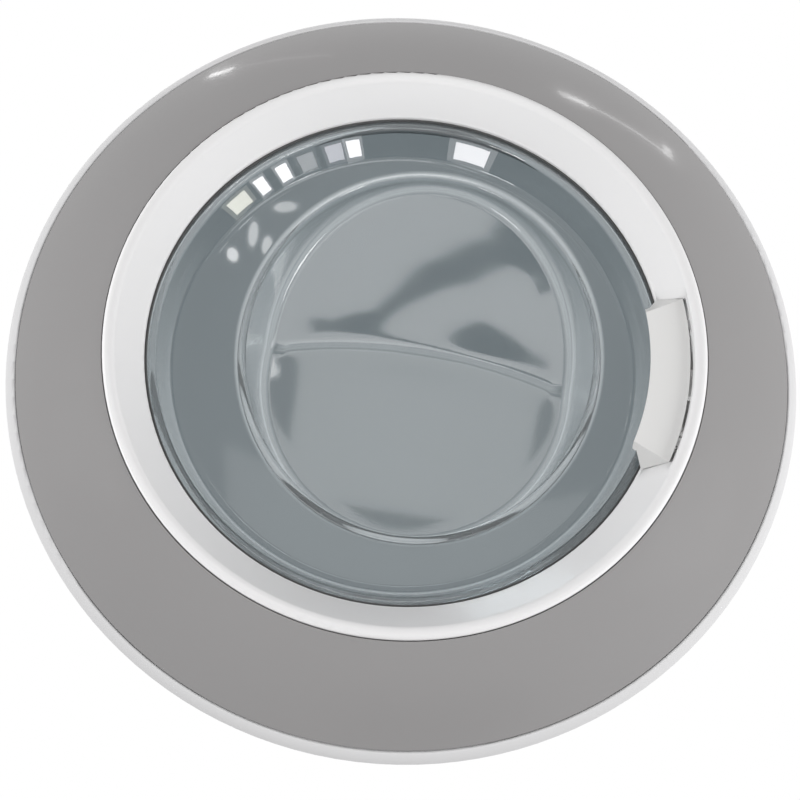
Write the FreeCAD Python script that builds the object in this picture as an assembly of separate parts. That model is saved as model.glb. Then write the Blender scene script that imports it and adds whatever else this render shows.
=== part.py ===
"""Round porthole door of a front-loading washing machine, in millimetres.

A domed grey trim ring lies on a pale front frame. A white window surround stands
inside it and funnels down to a pressed glass bowl with an oval pocket. A rear frame
clamps the glass. A pull handle works a sprung latch hook, and a pinned hinge
carries the door on the cabinet.

Sizes are given about the door's own axis, which runs along Y with the front at -Y.
Y = 0 is the rear edge of the outer rim. At the end everything moves so that the
origin is the middle of the hinge leaf's screw pattern on the cabinet panel.
"""

import FreeCAD, Part
import math
import os

from FreeCAD import Base

# Outer rim and trim ring
OUTER_R = 235.0
RIM_LAND = 1.5
RIM_WALL = 2.4
RIM_BEVEL = 6.8
RIM_FRONT_Y = -6.2
TRIM_OUTER_R = OUTER_R - RIM_BEVEL
TRIM_OUTER_Y = RIM_FRONT_Y - 0.3
TRIM_WIDTH = 54.0
TRIM_INNER_R = TRIM_OUTER_R - TRIM_WIDTH
TRIM_RISE = 27.1
TRIM_INNER_Y = TRIM_OUTER_Y - TRIM_RISE
TRIM_CROWN = 2.4
TRIM_THICK = 2.0
FRAME_WALL = 2.6
SEAT_GAP = 0.15
RING_GAP = 0.5

# Window surround: the white collar between trim ring and glass
COLLAR_R = TRIM_INNER_R - RING_GAP
COLLAR_EDGE_Y = TRIM_INNER_Y + 0.4
COLLAR_WIDTH = 20.9
COLLAR_WALL = 2.5
CREST_R = COLLAR_R - 3.7
CREST_Y = COLLAR_EDGE_Y - 3.0
FUNNEL_TOP_R = CREST_R - 4.2
FUNNEL_TOP_Y = CREST_Y + 3.4
FUNNEL_DEPTH = 18.6
WINDOW_R = COLLAR_R - COLLAR_WIDTH
WINDOW_Y = FUNNEL_TOP_Y + FUNNEL_DEPTH
FOOT_WIDTH = 6.7
FOOT_R = WINDOW_R + FOOT_WIDTH
SKIRT_REAR_Y = -9.0

# Glass bowl; the ledges are the widths of the shoulder left round the oval pocket
GLASS_THICK = 5.0
FLANGE_FRONT_Y = WINDOW_Y + 3.2
FLANGE_R = WINDOW_R + 9.7
MOUTH_R = WINDOW_R - 5.8
MOUTH_ROUND = 3.0
WALL_LEAN = 7.0
WALL_DEPTH = 26.0
SHOULDER_R = MOUTH_R - WALL_LEAN
SHOULDER_Y = FLANGE_FRONT_Y + WALL_DEPTH
SHOULDER_DIP = 4.0
SHOULDER_ROUND = 8.0
LEDGE_TOP = 10.0
LEDGE_BOTTOM = 34.0
LEDGE_LEFT = 39.5
LEDGE_RIGHT = 22.5
POCKET_X = (LEDGE_LEFT - LEDGE_RIGHT) / 2
POCKET_Z = (LEDGE_BOTTOM - LEDGE_TOP) / 2
POCKET_HALF_WIDTH = SHOULDER_R - (LEDGE_LEFT + LEDGE_RIGHT) / 2
POCKET_HALF_HEIGHT = SHOULDER_R - (LEDGE_BOTTOM + LEDGE_TOP) / 2
POCKET_DRAFT = 11.0
POCKET_DEPTH = 63.0
POCKET_TOP_DEPTH = 11.4
CREASE_Y = SHOULDER_Y + POCKET_DEPTH
CREASE_RISE = 21.0
CREASE_Z = POCKET_Z + CREASE_RISE
CREASE_ARC_R = 270.0
CREASE_ROUND = 5.0
UPPER_SLOPE = (POCKET_DEPTH - POCKET_TOP_DEPTH) / (POCKET_HALF_HEIGHT - CREASE_RISE)
LOWER_SLOPE = 0.105

# Rubber seal between surround and glass
SEAL_SHOW = 1.4
SEAL_SEAT = 2.7
SEAL_INNER_R = WINDOW_R - SEAL_SHOW
SEAL_OUTER_R = WINDOW_R + SEAL_SEAT
SEAL_THICK = 1.4
SEAL_LIP = 1.2

# Rear frame
REAR_PLATE_Y = 0.4
REAR_PLATE_THICK = 2.6
CLAMP_INNER_R = MOUTH_R + GLASS_THICK + 4.5
CLAMP_WALL = 2.5
CLAMP_GAP = 0.2
REAR_LIP_Y = 9.5

# Self-tapping screws that hold the frames together
SCREW_R = 1.7
SCREW_HOLE_GAP = 0.05
SCREW_HEAD_R = 3.8
SCREW_HEAD_H = 2.4
SCREW_LENGTH = 12.0
BOSS_R = 4.2
FRAME_SCREW_PCD_R = TRIM_INNER_R + 0.57 * TRIM_WIDTH
FRAME_SCREW_COUNT = 8
SURROUND_SCREW_PCD_R = COLLAR_R - 4.5
SURROUND_BOSS_R = 2.9
SURROUND_SCREW_ANGLES = (40.0, 90.0, 140.0, 220.0, 270.0, 320.0)

# Pull handle
HANDLE_OUTER_R = COLLAR_R - 8.9
HANDLE_OVERHANG = 10.4
HANDLE_INNER_R = WINDOW_R - HANDLE_OVERHANG
HANDLE_OUTER_DEG = 17.8
HANDLE_INNER_DEG = 16.3
HANDLE_BASE_DEG = 20.3
HANDLE_OUTER_Y = COLLAR_EDGE_Y + 4.3
HANDLE_INNER_Y = HANDLE_OUTER_Y + 3.7
HANDLE_WALL = 2.0
HANDLE_LIP_DEPTH = 3.6
HANDLE_SWEEP_GAP = 1.5
HANDLE_SIDE_GAP = 0.7
HANDLE_PIVOT_X = HANDLE_OUTER_R - 3.8
HANDLE_PIVOT_Y = HANDLE_OUTER_Y + 5.5
HANDLE_PIN_R = 1.5
HANDLE_EAR_Z = 27.0
HANDLE_EAR_THICK = 6.0
HANDLE_BOSS_R = 3.0
HANDLE_LUG_GAP = 1.0
HANDLE_LUG_FRONT = 2.2
HANDLE_LUG_THICK = 5.0
TAIL_HALF_WIDTH = 8.5
TAIL_NOSE_X = COLLAR_R - 3.5
TAIL_NOSE_Y = HANDLE_PIVOT_Y + 4.4

# Latch hook
LATCH_PIVOT_X = COLLAR_R + 14.3
LATCH_PIVOT_Y = -9.0
LATCH_PIN_R = 2.0
LATCH_BOSS_R = 5.0
LATCH_TOP_Z = 8.5
LATCH_BOTTOM_Z = -3.0
LATCH_ARM_TIP_X = TAIL_NOSE_X - 2.6
LATCH_ARM_THICK = 4.0
LATCH_CONTACT_GAP = 0.3
LATCH_SHANK_HALF = 3.0
LATCH_REACH_Y = 27.0
LATCH_CLAW = 6.0
LATCH_SLOT_HALF_Z = 9.0
LATCH_SLOT_X = (LATCH_PIVOT_X - 10.5, LATCH_PIVOT_X + 10.5)
LATCH_LUG_Z = 9.3
LATCH_LUG_THICK = 4.0
LATCH_PLATE_THICK = 1.5
LATCH_PLATE_HALF_X = 22.0
LATCH_PLATE_HALF_Z = 27.0
LATCH_SCREW_Z = 20.0

# Hinge
HINGE_INSET = 19.0
HINGE_X = HINGE_INSET - OUTER_R
HINGE_Y = 3.0
HINGE_PIN_R = 3.0
KNUCKLE_R = 6.5
DOOR_KNUCKLE_HALF = 12.0
CABINET_KNUCKLE = 20.0
BUSH_R = 4.5
BUSH_FLANGE = 1.2
RUNNING_GAP = 0.05
PRESS_GAP = 0.02
KNUCKLE_GAP = 0.4
LEAF_THICK = 3.0
CABINET_Y = HINGE_Y + KNUCKLE_R + 0.5 + LEAF_THICK
LEAF_START_X = HINGE_X + HINGE_INSET
LEAF_WIDTH = 40.0
LEAF_END_X = LEAF_START_X + LEAF_WIDTH
LEAF_HALF_Z = 36.0
LEAF_ARM_THICK = 5.0
LEAF_HOLE_R = 2.75
LEAF_HOLE_SPACING = 44.0
DOOR_LEAF_THICK = 2.5
DOOR_LEAF_END_X = LEAF_END_X - 9.0
DOOR_LEAF_HALF_Z = 24.0
DOOR_LEAF_SCREW_Z = 15.0
DOOR_LEAF_SCREW_X = LEAF_START_X + LEAF_WIDTH / 2
HINGE_NOTCH_X = LEAF_START_X + LEAF_ARM_THICK + 3.0
HINGE_NOTCH_HALF_Z = 38.0

# Wire springs
HANDLE_WIRE_R = 0.4
LATCH_WIRE_R = 0.5
SPRING_TURNS = 3.0
SPRING_GAP = 0.3
SPRING_LEG = 7.0

MOVED_ORIGIN = Base.Vector((LEAF_START_X + LEAF_END_X) / 2, CABINET_Y, 0)
Y_AXIS = Base.Vector(0, 1, 0)
Z_AXIS = Base.Vector(0, 0, 1)


# Shared shape helpers

def vec(x, y, z=0.0):
    return Base.Vector(x, y, z)


def outline(start, *steps):
    """A closed face in the XY plane. A step is a point, or a pair (point on the arc, end point)."""
    edges = []
    here = vec(*start)
    for step in steps:
        if isinstance(step[0], tuple):
            middle, end = vec(*step[0]), vec(*step[1])
            edges.append(Part.Arc(here, middle, end).toShape())
        else:
            end = vec(*step)
            edges.append(Part.LineSegment(here, end).toShape())
        here = end
    if here.distanceToPoint(vec(*start)) > 1e-6:
        edges.append(Part.LineSegment(here, vec(*start)).toShape())
    return Part.Face(Part.Wire(edges))


def turned(face, degrees=360.0):
    """The face, drawn as (radius, y), turned about the door's axis, symmetric about +X."""
    solid = face.revolve(vec(0, 0), Y_AXIS, degrees)
    solid.rotate(vec(0, 0), Y_AXIS, -degrees / 2)
    return solid


def along_z(face, low, high):
    """The face, drawn as (x, y), drawn out from z = low to z = high."""
    solid = face.extrude(vec(0, 0, high - low))
    solid.translate(vec(0, 0, low))
    return solid


def box(x, y, z):
    """A block from three (low, high) pairs."""
    return Part.makeBox(x[1] - x[0], y[1] - y[0], z[1] - z[0], vec(x[0], y[0], z[0]))


def rod_y(radius, x, z, low, high):
    return Part.makeCylinder(radius, high - low, vec(x, low, z), Y_AXIS)


def rod_z(radius, x, y, low, high):
    return Part.makeCylinder(radius, high - low, vec(x, y, low), Z_AXIS)


def on_circle(radius, degrees):
    """(x, z) of a point at that angle, counted from +X towards +Z."""
    return radius * math.cos(math.radians(degrees)), radius * math.sin(math.radians(degrees))


def fused(first, *others):
    return first.fuse(list(others)).removeSplitter() if others else first


def rounded(shape, radius, picks):
    """Fillets each edge of the shape for which picks(edge) is true."""
    edges = [edge for edge in shape.Edges if picks(edge)]
    return shape.makeFillet(radius, edges)


def even_angles(count):
    return [360.0 / count * (index + 0.5) for index in range(count)]


# Section values that several pieces share

def trim_front_y(radius):
    """Front face of the trim ring as a straight line between its two edges, before its crown."""
    share = (radius - TRIM_INNER_R) / (TRIM_OUTER_R - TRIM_INNER_R)
    return TRIM_INNER_Y + share * (TRIM_OUTER_Y - TRIM_INNER_Y)


def trim_curve(shift, inner_r, outer_r):
    """(inner end, arc middle, outer end) of the crowned face, moved back by shift."""
    def face_y(radius):
        share = (radius - TRIM_INNER_R) / (TRIM_OUTER_R - TRIM_INNER_R)
        return trim_front_y(radius) - 4 * TRIM_CROWN * share * (1 - share) + shift
    middle = (inner_r + outer_r) / 2
    return tuple((r, face_y(r)) for r in (inner_r, middle, outer_r))


REAR_PLATE_BACK = REAR_PLATE_Y + REAR_PLATE_THICK
FLANGE_BACK_Y = FLANGE_FRONT_Y + GLASS_THICK
HANDLE_LUG_Z = HANDLE_EAR_Z + HANDLE_EAR_THICK + HANDLE_LUG_GAP
LATCH_ARM_FRONT_Y = TAIL_NOSE_Y + LATCH_CONTACT_GAP


# Outer pieces of the door

def make_trim_ring():
    """Crowned grey ring that lies on the front frame."""
    front = trim_curve(0, TRIM_INNER_R, TRIM_OUTER_R)
    back = trim_curve(TRIM_THICK, TRIM_INNER_R, TRIM_OUTER_R)
    return turned(outline(front[0], (front[1], front[2]), back[2], (back[1], back[0])))


def make_front_frame():
    """Pale outer moulding: bevelled rim, cone under the trim ring, neck round the surround and screw bosses."""
    neck_r = COLLAR_R + RING_GAP
    neck_outer_r = neck_r + FRAME_WALL
    step_r = TRIM_OUTER_R + RING_GAP
    rim_inner_r = OUTER_R - RIM_WALL
    ledge_r = TRIM_OUTER_R - FRAME_WALL
    seat = trim_curve(TRIM_THICK + SEAT_GAP, neck_r, step_r)
    back = trim_curve(TRIM_THICK + SEAT_GAP + FRAME_WALL, neck_outer_r, ledge_r)
    bevel = ((OUTER_R + step_r) / 2 + 0.5, (RIM_FRONT_Y - RIM_LAND) / 2 - 0.5)
    section = outline(
        (OUTER_R, 0), (OUTER_R, -RIM_LAND), (bevel, (step_r, RIM_FRONT_Y)), seat[2], (seat[1], seat[0]),
        (neck_r, SKIRT_REAR_Y), (neck_outer_r, SKIRT_REAR_Y), back[0], (back[1], back[2]),
        (rim_inner_r - RIM_WALL, back[2][1]), (rim_inner_r, 0))
    frame = turned(section)
    behind_seat = turned(outline(seat[0], (seat[1], seat[2]), (step_r, REAR_PLATE_Y), (neck_r, REAR_PLATE_Y)))
    bosses = []
    for degrees in even_angles(FRAME_SCREW_COUNT):
        x, z = on_circle(FRAME_SCREW_PCD_R, degrees)
        bosses.append(rod_y(BOSS_R, x, z, CREST_Y, REAR_PLATE_Y - SEAT_GAP).common(behind_seat))
    frame = fused(frame, *bosses)
    holes = []
    for degrees in even_angles(FRAME_SCREW_COUNT):
        x, z = on_circle(FRAME_SCREW_PCD_R, degrees)
        holes.append(rod_y(SCREW_R + SCREW_HOLE_GAP, x, z, REAR_PLATE_BACK - SCREW_LENGTH - 1, REAR_PLATE_BACK))
    return frame.cut(holes + [latch_arm_passage()])


def latch_arm_passage():
    """Slot through the neck and the skirt for the hook's arm."""
    return box((COLLAR_R - 2 * COLLAR_WALL, COLLAR_R + RING_GAP + 2 * FRAME_WALL),
               (TAIL_NOSE_Y - COLLAR_WALL, 0), (-TAIL_HALF_WIDTH - 2.5, TAIL_HALF_WIDTH + 2.5))


def surround_section():
    """Collar section: rolled crest, funnel to the window, foot on the seal and outer skirt."""
    foot_y = FLANGE_FRONT_Y - SEAL_THICK - SEAT_GAP
    run = math.hypot(FUNNEL_TOP_R - WINDOW_R, FUNNEL_TOP_Y - WINDOW_Y)
    normal_r = (WINDOW_Y - FUNNEL_TOP_Y) / run * COLLAR_WALL
    normal_y = (FUNNEL_TOP_R - WINDOW_R) / run * COLLAR_WALL
    slope = (WINDOW_Y - FUNNEL_TOP_Y) / (WINDOW_R - FUNNEL_TOP_R)
    back_top = (FUNNEL_TOP_R + normal_r, FUNNEL_TOP_Y + normal_y)
    foot_top = (FOOT_R, back_top[1] + slope * (FOOT_R - back_top[0]))
    skirt_inner_r = COLLAR_R - COLLAR_WALL
    crest_out = (COLLAR_R - 0.9, (COLLAR_EDGE_Y + CREST_Y) / 2 - 0.7)
    crest_in = ((CREST_R + FUNNEL_TOP_R) / 2 - 0.1, (CREST_Y + FUNNEL_TOP_Y) / 2 - 0.8)
    return outline(
        (COLLAR_R, SKIRT_REAR_Y), (COLLAR_R, COLLAR_EDGE_Y), (crest_out, (CREST_R, CREST_Y)),
        (crest_in, (FUNNEL_TOP_R, FUNNEL_TOP_Y)), (WINDOW_R + 1.2, WINDOW_Y - 1.6),
        ((WINDOW_R + 0.25, WINDOW_Y - 0.7), (WINDOW_R, WINDOW_Y)), (WINDOW_R, foot_y), (FOOT_R, foot_y),
        foot_top, back_top, (skirt_inner_r, back_top[1]), (skirt_inner_r, SKIRT_REAR_Y))


def make_window_surround():
    """White collar with its handle opening, pin lugs, skirt slot and screw bosses."""
    surround = turned(surround_section()).cut(handle_opening())
    hollow = turned(outline((HANDLE_INNER_R, CREST_Y + 1), (COLLAR_R - 0.2, CREST_Y + 1),
                            (COLLAR_R - 0.2, SKIRT_REAR_Y), (HANDLE_INNER_R, SKIRT_REAR_Y)))
    lugs = []
    lug_low = HANDLE_PIVOT_X - HANDLE_BOSS_R + 0.2
    for side in (1, -1):
        z_ends = sorted((side * HANDLE_LUG_Z, side * (HANDLE_LUG_Z + HANDLE_LUG_THICK)))
        lug = box((lug_low, COLLAR_R), (HANDLE_PIVOT_Y - HANDLE_LUG_FRONT, HANDLE_PIVOT_Y + HANDLE_BOSS_R), z_ends)
        lugs.append(lug.common(hollow))
    bosses = []
    holes = [rod_z(HANDLE_PIN_R + PRESS_GAP, HANDLE_PIVOT_X, HANDLE_PIVOT_Y, -60, 60), latch_arm_passage()]
    for degrees in SURROUND_SCREW_ANGLES:
        x, z = on_circle(SURROUND_SCREW_PCD_R, degrees)
        bosses.append(rod_y(SURROUND_BOSS_R, x, z, FUNNEL_TOP_Y, REAR_PLATE_Y - SEAT_GAP))
        holes.append(rod_y(SCREW_R + SCREW_HOLE_GAP, x, z, REAR_PLATE_BACK - SCREW_LENGTH - 1, REAR_PLATE_BACK))
    return fused(surround, *lugs, *bosses).cut(holes)


# Glass bowl

def bowl_plug(offset):
    """Solid that fills the bowl from its mouth to its floor, grown by offset on every wall.

    Growing it by 0 gives the inside of the glass and by GLASS_THICK the outside.
    """
    front_y = FLANGE_FRONT_Y - 20
    shoulder_y = SHOULDER_Y + offset
    section = outline((0, front_y), (MOUTH_R + offset, front_y), (MOUTH_R + offset, FLANGE_FRONT_Y),
                      (SHOULDER_R + offset, shoulder_y), (0, shoulder_y + SHOULDER_DIP))
    dish = turned(section)
    top = ellipse_wire(POCKET_HALF_WIDTH + offset, POCKET_HALF_HEIGHT + offset, SHOULDER_Y - 10)
    end = ellipse_wire(POCKET_HALF_WIDTH + offset - POCKET_DRAFT, POCKET_HALF_HEIGHT + offset - POCKET_DRAFT,
                       CREASE_Y + 10 + offset)
    pocket = Part.makeLoft([top, end], True).common(pocket_floor(offset))
    pocket = rounded(pocket, CREASE_ROUND + offset, lambda edge: edge.BoundBox.YMin > SHOULDER_Y - 5)
    plug = dish.fuse(pocket).removeSplitter()
    return rounded(plug, SHOULDER_ROUND + offset, lambda edge: is_shoulder_corner(edge, offset))


def is_shoulder_corner(edge, offset):
    """True for the round corner between the bowl's wall and its shoulder."""
    circle = edge.Curve
    return isinstance(circle, Part.Circle) and abs(circle.Radius - SHOULDER_R - offset) < 0.5


def ellipse_wire(half_width, half_height, y):
    """Oval outline of the pocket, its long axis upright, at that depth."""
    oval = Part.Ellipse(vec(POCKET_X, y, POCKET_Z + half_height), vec(POCKET_X + half_width, y, POCKET_Z),
                        vec(POCKET_X, y, POCKET_Z))
    return Part.Wire([oval.toShape()])


def pocket_floor(offset):
    """Space in front of the pocket's two floor facets, which meet in an arched crease."""
    reach = 1.5 * SHOULDER_R
    front_y = FLANGE_FRONT_Y - 50
    centre_z = CREASE_Z - CREASE_ARC_R
    upper_y = CREASE_Y + offset * math.hypot(1, UPPER_SLOPE)
    lower_y = CREASE_Y + offset * math.hypot(1, LOWER_SLOPE)
    top_r = CREASE_ARC_R + reach
    low_r = CREASE_ARC_R - reach
    cone = outline((0, front_y), (top_r, front_y), (top_r, upper_y - reach * UPPER_SLOPE),
                   (low_r, upper_y + reach * UPPER_SLOPE), (0, upper_y + reach * UPPER_SLOPE))
    cone = cone.revolve(vec(0, 0), Y_AXIS, 360)
    cone.translate(vec(POCKET_X, 0, centre_z))
    wedge = Part.makePolygon([vec(-reach, front_y, CREASE_Z - reach), vec(-reach, front_y, CREASE_Z + reach),
                              vec(-reach, lower_y + reach * LOWER_SLOPE, CREASE_Z + reach),
                              vec(-reach, lower_y - reach * LOWER_SLOPE, CREASE_Z - reach),
                              vec(-reach, front_y, CREASE_Z - reach)])
    slab = Part.Face(wedge).extrude(vec(2 * reach, 0, 0))
    return cone.common(slab)


def make_glass_bowl():
    """Pressed glass: flat clamping flange, rounded mouth, shoulder and oval pocket."""
    flange = turned(outline((0, FLANGE_FRONT_Y), (FLANGE_R, FLANGE_FRONT_Y), (FLANGE_R, FLANGE_BACK_Y),
                            (0, FLANGE_BACK_Y)))
    behind = turned(outline((0, FLANGE_FRONT_Y), (FLANGE_R + 10, FLANGE_FRONT_Y), (FLANGE_R + 10, 200), (0, 200)))
    bowl = flange.fuse(bowl_plug(GLASS_THICK).common(behind)).cut(bowl_plug(0)).removeSplitter()
    return rounded(bowl, MOUTH_ROUND, is_mouth_edge)


def is_mouth_edge(edge):
    """True for the circle where the flange's front face turns into the bowl."""
    circle = edge.Curve
    on_front = abs(edge.BoundBox.YMin - FLANGE_FRONT_Y) < 0.01 and abs(edge.BoundBox.YMax - FLANGE_FRONT_Y) < 0.01
    return isinstance(circle, Part.Circle) and on_front and abs(circle.Radius - MOUTH_R) < 0.5


def make_glass_seal():
    """Flat rubber ring under the surround's foot, with a lip that shows round the glass."""
    back_y = FLANGE_FRONT_Y - SEAT_GAP / 3
    front_y = FLANGE_FRONT_Y - SEAL_THICK
    return turned(outline((SEAL_INNER_R, back_y), (SEAL_OUTER_R, back_y), (SEAL_OUTER_R, front_y),
                          (WINDOW_R - SEAT_GAP, front_y), (SEAL_INNER_R, front_y - SEAL_LIP)))


# Rear frame and screws

def make_rear_frame():
    """Back moulding: clamps the glass, closes the ring and carries the hinge leaf and the latch."""
    clamp_y = FLANGE_BACK_Y + CLAMP_GAP
    cup_r = FLANGE_R + RING_GAP
    wall_r = cup_r + CLAMP_WALL
    ledge_r = TRIM_OUTER_R - FRAME_WALL
    ledge_y = trim_curve(TRIM_THICK + SEAT_GAP + FRAME_WALL, TRIM_INNER_R, ledge_r)[2][1] + SEAT_GAP
    rim_r = OUTER_R - RIM_WALL - RING_GAP
    lip_r = CLAMP_INNER_R + CLAMP_WALL
    section = outline(
        (CLAMP_INNER_R, clamp_y), (cup_r, clamp_y), (cup_r, FLANGE_FRONT_Y + 2), (wall_r, FLANGE_FRONT_Y + 2),
        (wall_r, REAR_PLATE_Y), (ledge_r - CLAMP_WALL, REAR_PLATE_Y), (ledge_r, ledge_y),
        (rim_r - RIM_WALL, ledge_y), (rim_r, REAR_PLATE_Y), (rim_r, REAR_PLATE_Y + 1.2),
        (rim_r - 1.6, REAR_PLATE_BACK), (lip_r + 1.8, REAR_PLATE_BACK), (lip_r, REAR_LIP_Y),
        (CLAMP_INNER_R, REAR_LIP_Y))
    frame = turned(section)
    added = []
    for side in (1, -1):
        z_ends = sorted((side * LATCH_LUG_Z, side * (LATCH_LUG_Z + LATCH_LUG_THICK)))
        added.append(box((LATCH_PIVOT_X - 4.5, LATCH_PIVOT_X + 4.5),
                         (LATCH_PIVOT_Y - LATCH_BOSS_R, REAR_PLATE_Y + 0.5), z_ends))
    for x, z in latch_screw_places() + leaf_screw_places():
        added.append(rod_y(BOSS_R, x, z, SKIRT_REAR_Y + 1, REAR_PLATE_Y + 0.5))
    frame = fused(frame, *added)
    cuts = [rod_z(LATCH_PIN_R + PRESS_GAP, LATCH_PIVOT_X, LATCH_PIVOT_Y, -40, 40),
            box(LATCH_SLOT_X, (REAR_PLATE_Y - 1, REAR_PLATE_BACK + 1), (-LATCH_SLOT_HALF_Z, LATCH_SLOT_HALF_Z)),
            box((-OUTER_R - 5, HINGE_NOTCH_X), (-30, 30), (-HINGE_NOTCH_HALF_Z, HINGE_NOTCH_HALF_Z))]
    for x, z in frame_screw_places() + surround_screw_places() + latch_screw_places() + leaf_screw_places():
        cuts.append(rod_y(SCREW_R + SCREW_HOLE_GAP, x, z, -SCREW_LENGTH + 1, REAR_PLATE_BACK + 1))
    return frame.cut(cuts)


def frame_screw_places():
    return [on_circle(FRAME_SCREW_PCD_R, degrees) for degrees in even_angles(FRAME_SCREW_COUNT)]


def surround_screw_places():
    return [on_circle(SURROUND_SCREW_PCD_R, degrees) for degrees in SURROUND_SCREW_ANGLES]


def latch_screw_places():
    return [(LATCH_PIVOT_X, LATCH_SCREW_Z), (LATCH_PIVOT_X, -LATCH_SCREW_Z)]


def leaf_screw_places():
    return [(DOOR_LEAF_SCREW_X, DOOR_LEAF_SCREW_Z), (DOOR_LEAF_SCREW_X, -DOOR_LEAF_SCREW_Z)]


def make_screws(places, seat_y, length):
    """Pan-head screws with cross recesses, driven forward from seat_y."""
    screws = []
    for x, z in places:
        head = rod_y(SCREW_HEAD_R, x, z, seat_y, seat_y + SCREW_HEAD_H / 2)
        crown = Part.makeCone(SCREW_HEAD_R, SCREW_HEAD_R * 0.65, SCREW_HEAD_H / 2,
                              vec(x, seat_y + SCREW_HEAD_H / 2, z), Y_AXIS)
        shank = rod_y(SCREW_R, x, z, seat_y - length, seat_y)
        depth = (seat_y + SCREW_HEAD_H / 2, seat_y + SCREW_HEAD_H + 1)
        cross = [box((x - 1.9, x + 1.9), depth, (z - 0.4, z + 0.4)), box((x - 0.4, x + 0.4), depth, (z - 1.9, z + 1.9))]
        screws.append(fused(head, crown, shank).cut(cross))
    return Part.makeCompound(screws)


# Pull handle

def handle_corners(side):
    """Outer, inner and base corner of one end wall; side is 1 for the upper end and -1 for the lower."""
    outer_x, outer_z = on_circle(HANDLE_OUTER_R, HANDLE_OUTER_DEG)
    inner_x, inner_z = on_circle(HANDLE_INNER_R, HANDLE_INNER_DEG)
    base_x, base_z = on_circle(WINDOW_R, HANDLE_BASE_DEG)
    return (vec(outer_x, HANDLE_OUTER_Y, side * outer_z), vec(inner_x, HANDLE_INNER_Y, side * inner_z),
            vec(base_x, handle_floor_y(), side * base_z))


def handle_floor_y():
    """Front of the narrow land that the surround keeps behind the handle."""
    return WINDOW_Y - 1.2


def handle_plan(gap):
    """Prism over the handle's place in front view, its two straight sides moved out by gap."""
    outer, inner, base = handle_corners(1)
    flare = (base.z - outer.z) / (outer.x - base.x)
    reach = 20.0
    front_y = CREST_Y - 10
    far_z = outer.z + gap - flare * reach
    near_z = base.z + gap + flare * reach
    plan = Part.makePolygon([vec(outer.x + reach, front_y, far_z), vec(base.x - reach, front_y, near_z),
                             vec(base.x - reach, front_y, -near_z), vec(outer.x + reach, front_y, -far_z),
                             vec(outer.x + reach, front_y, far_z)])
    return Part.Face(plan).extrude(vec(0, SKIRT_REAR_Y - front_y, 0))


def handle_opening():
    """Space cut from the surround for the handle and its swing."""
    outer_r = HANDLE_OUTER_R + HANDLE_SWEEP_GAP
    inner_r = HANDLE_INNER_R - 5
    sector = turned(outline((inner_r, CREST_Y - 10), (outer_r, CREST_Y - 10), (outer_r, handle_floor_y()),
                            (inner_r, handle_floor_y())), 2 * (HANDLE_BASE_DEG + 10))
    return sector.common(handle_plan(HANDLE_SIDE_GAP))


def handle_block(inset, spare):
    """Wedge of the handle with its front and ends moved in by inset and its other sides let out by spare."""
    base_y = handle_floor_y() - HANDLE_SIDE_GAP
    slope = (HANDLE_INNER_Y - HANDLE_OUTER_Y) / (HANDLE_OUTER_R - HANDLE_INNER_R)
    wedge = turned(outline((HANDLE_OUTER_R + spare, HANDLE_OUTER_Y - slope * spare + inset),
                           (HANDLE_INNER_R - spare, HANDLE_INNER_Y + slope * spare + inset),
                           (WINDOW_R - spare, base_y + spare), (HANDLE_OUTER_R + spare, base_y + spare)),
                   2 * (HANDLE_BASE_DEG + 10))
    wedge = wedge.common(handle_plan(-inset))
    return wedge.cut([end_waste(side, inset) for side in (1, -1)])


def end_waste(side, inset):
    """Block beyond one slanted end wall, moved towards the middle of the handle by inset."""
    outer, inner, base = handle_corners(side)
    normal = (inner - outer).cross(base - outer) * side
    normal.normalize()
    if normal.z * side < 0:
        normal = normal * -1
    waste = Part.makeBox(160, 160, 80, vec(-80, -80, 0))
    waste.Placement = Base.Placement(outer - normal * inset, Base.Rotation(Z_AXIS, normal))
    return waste


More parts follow.
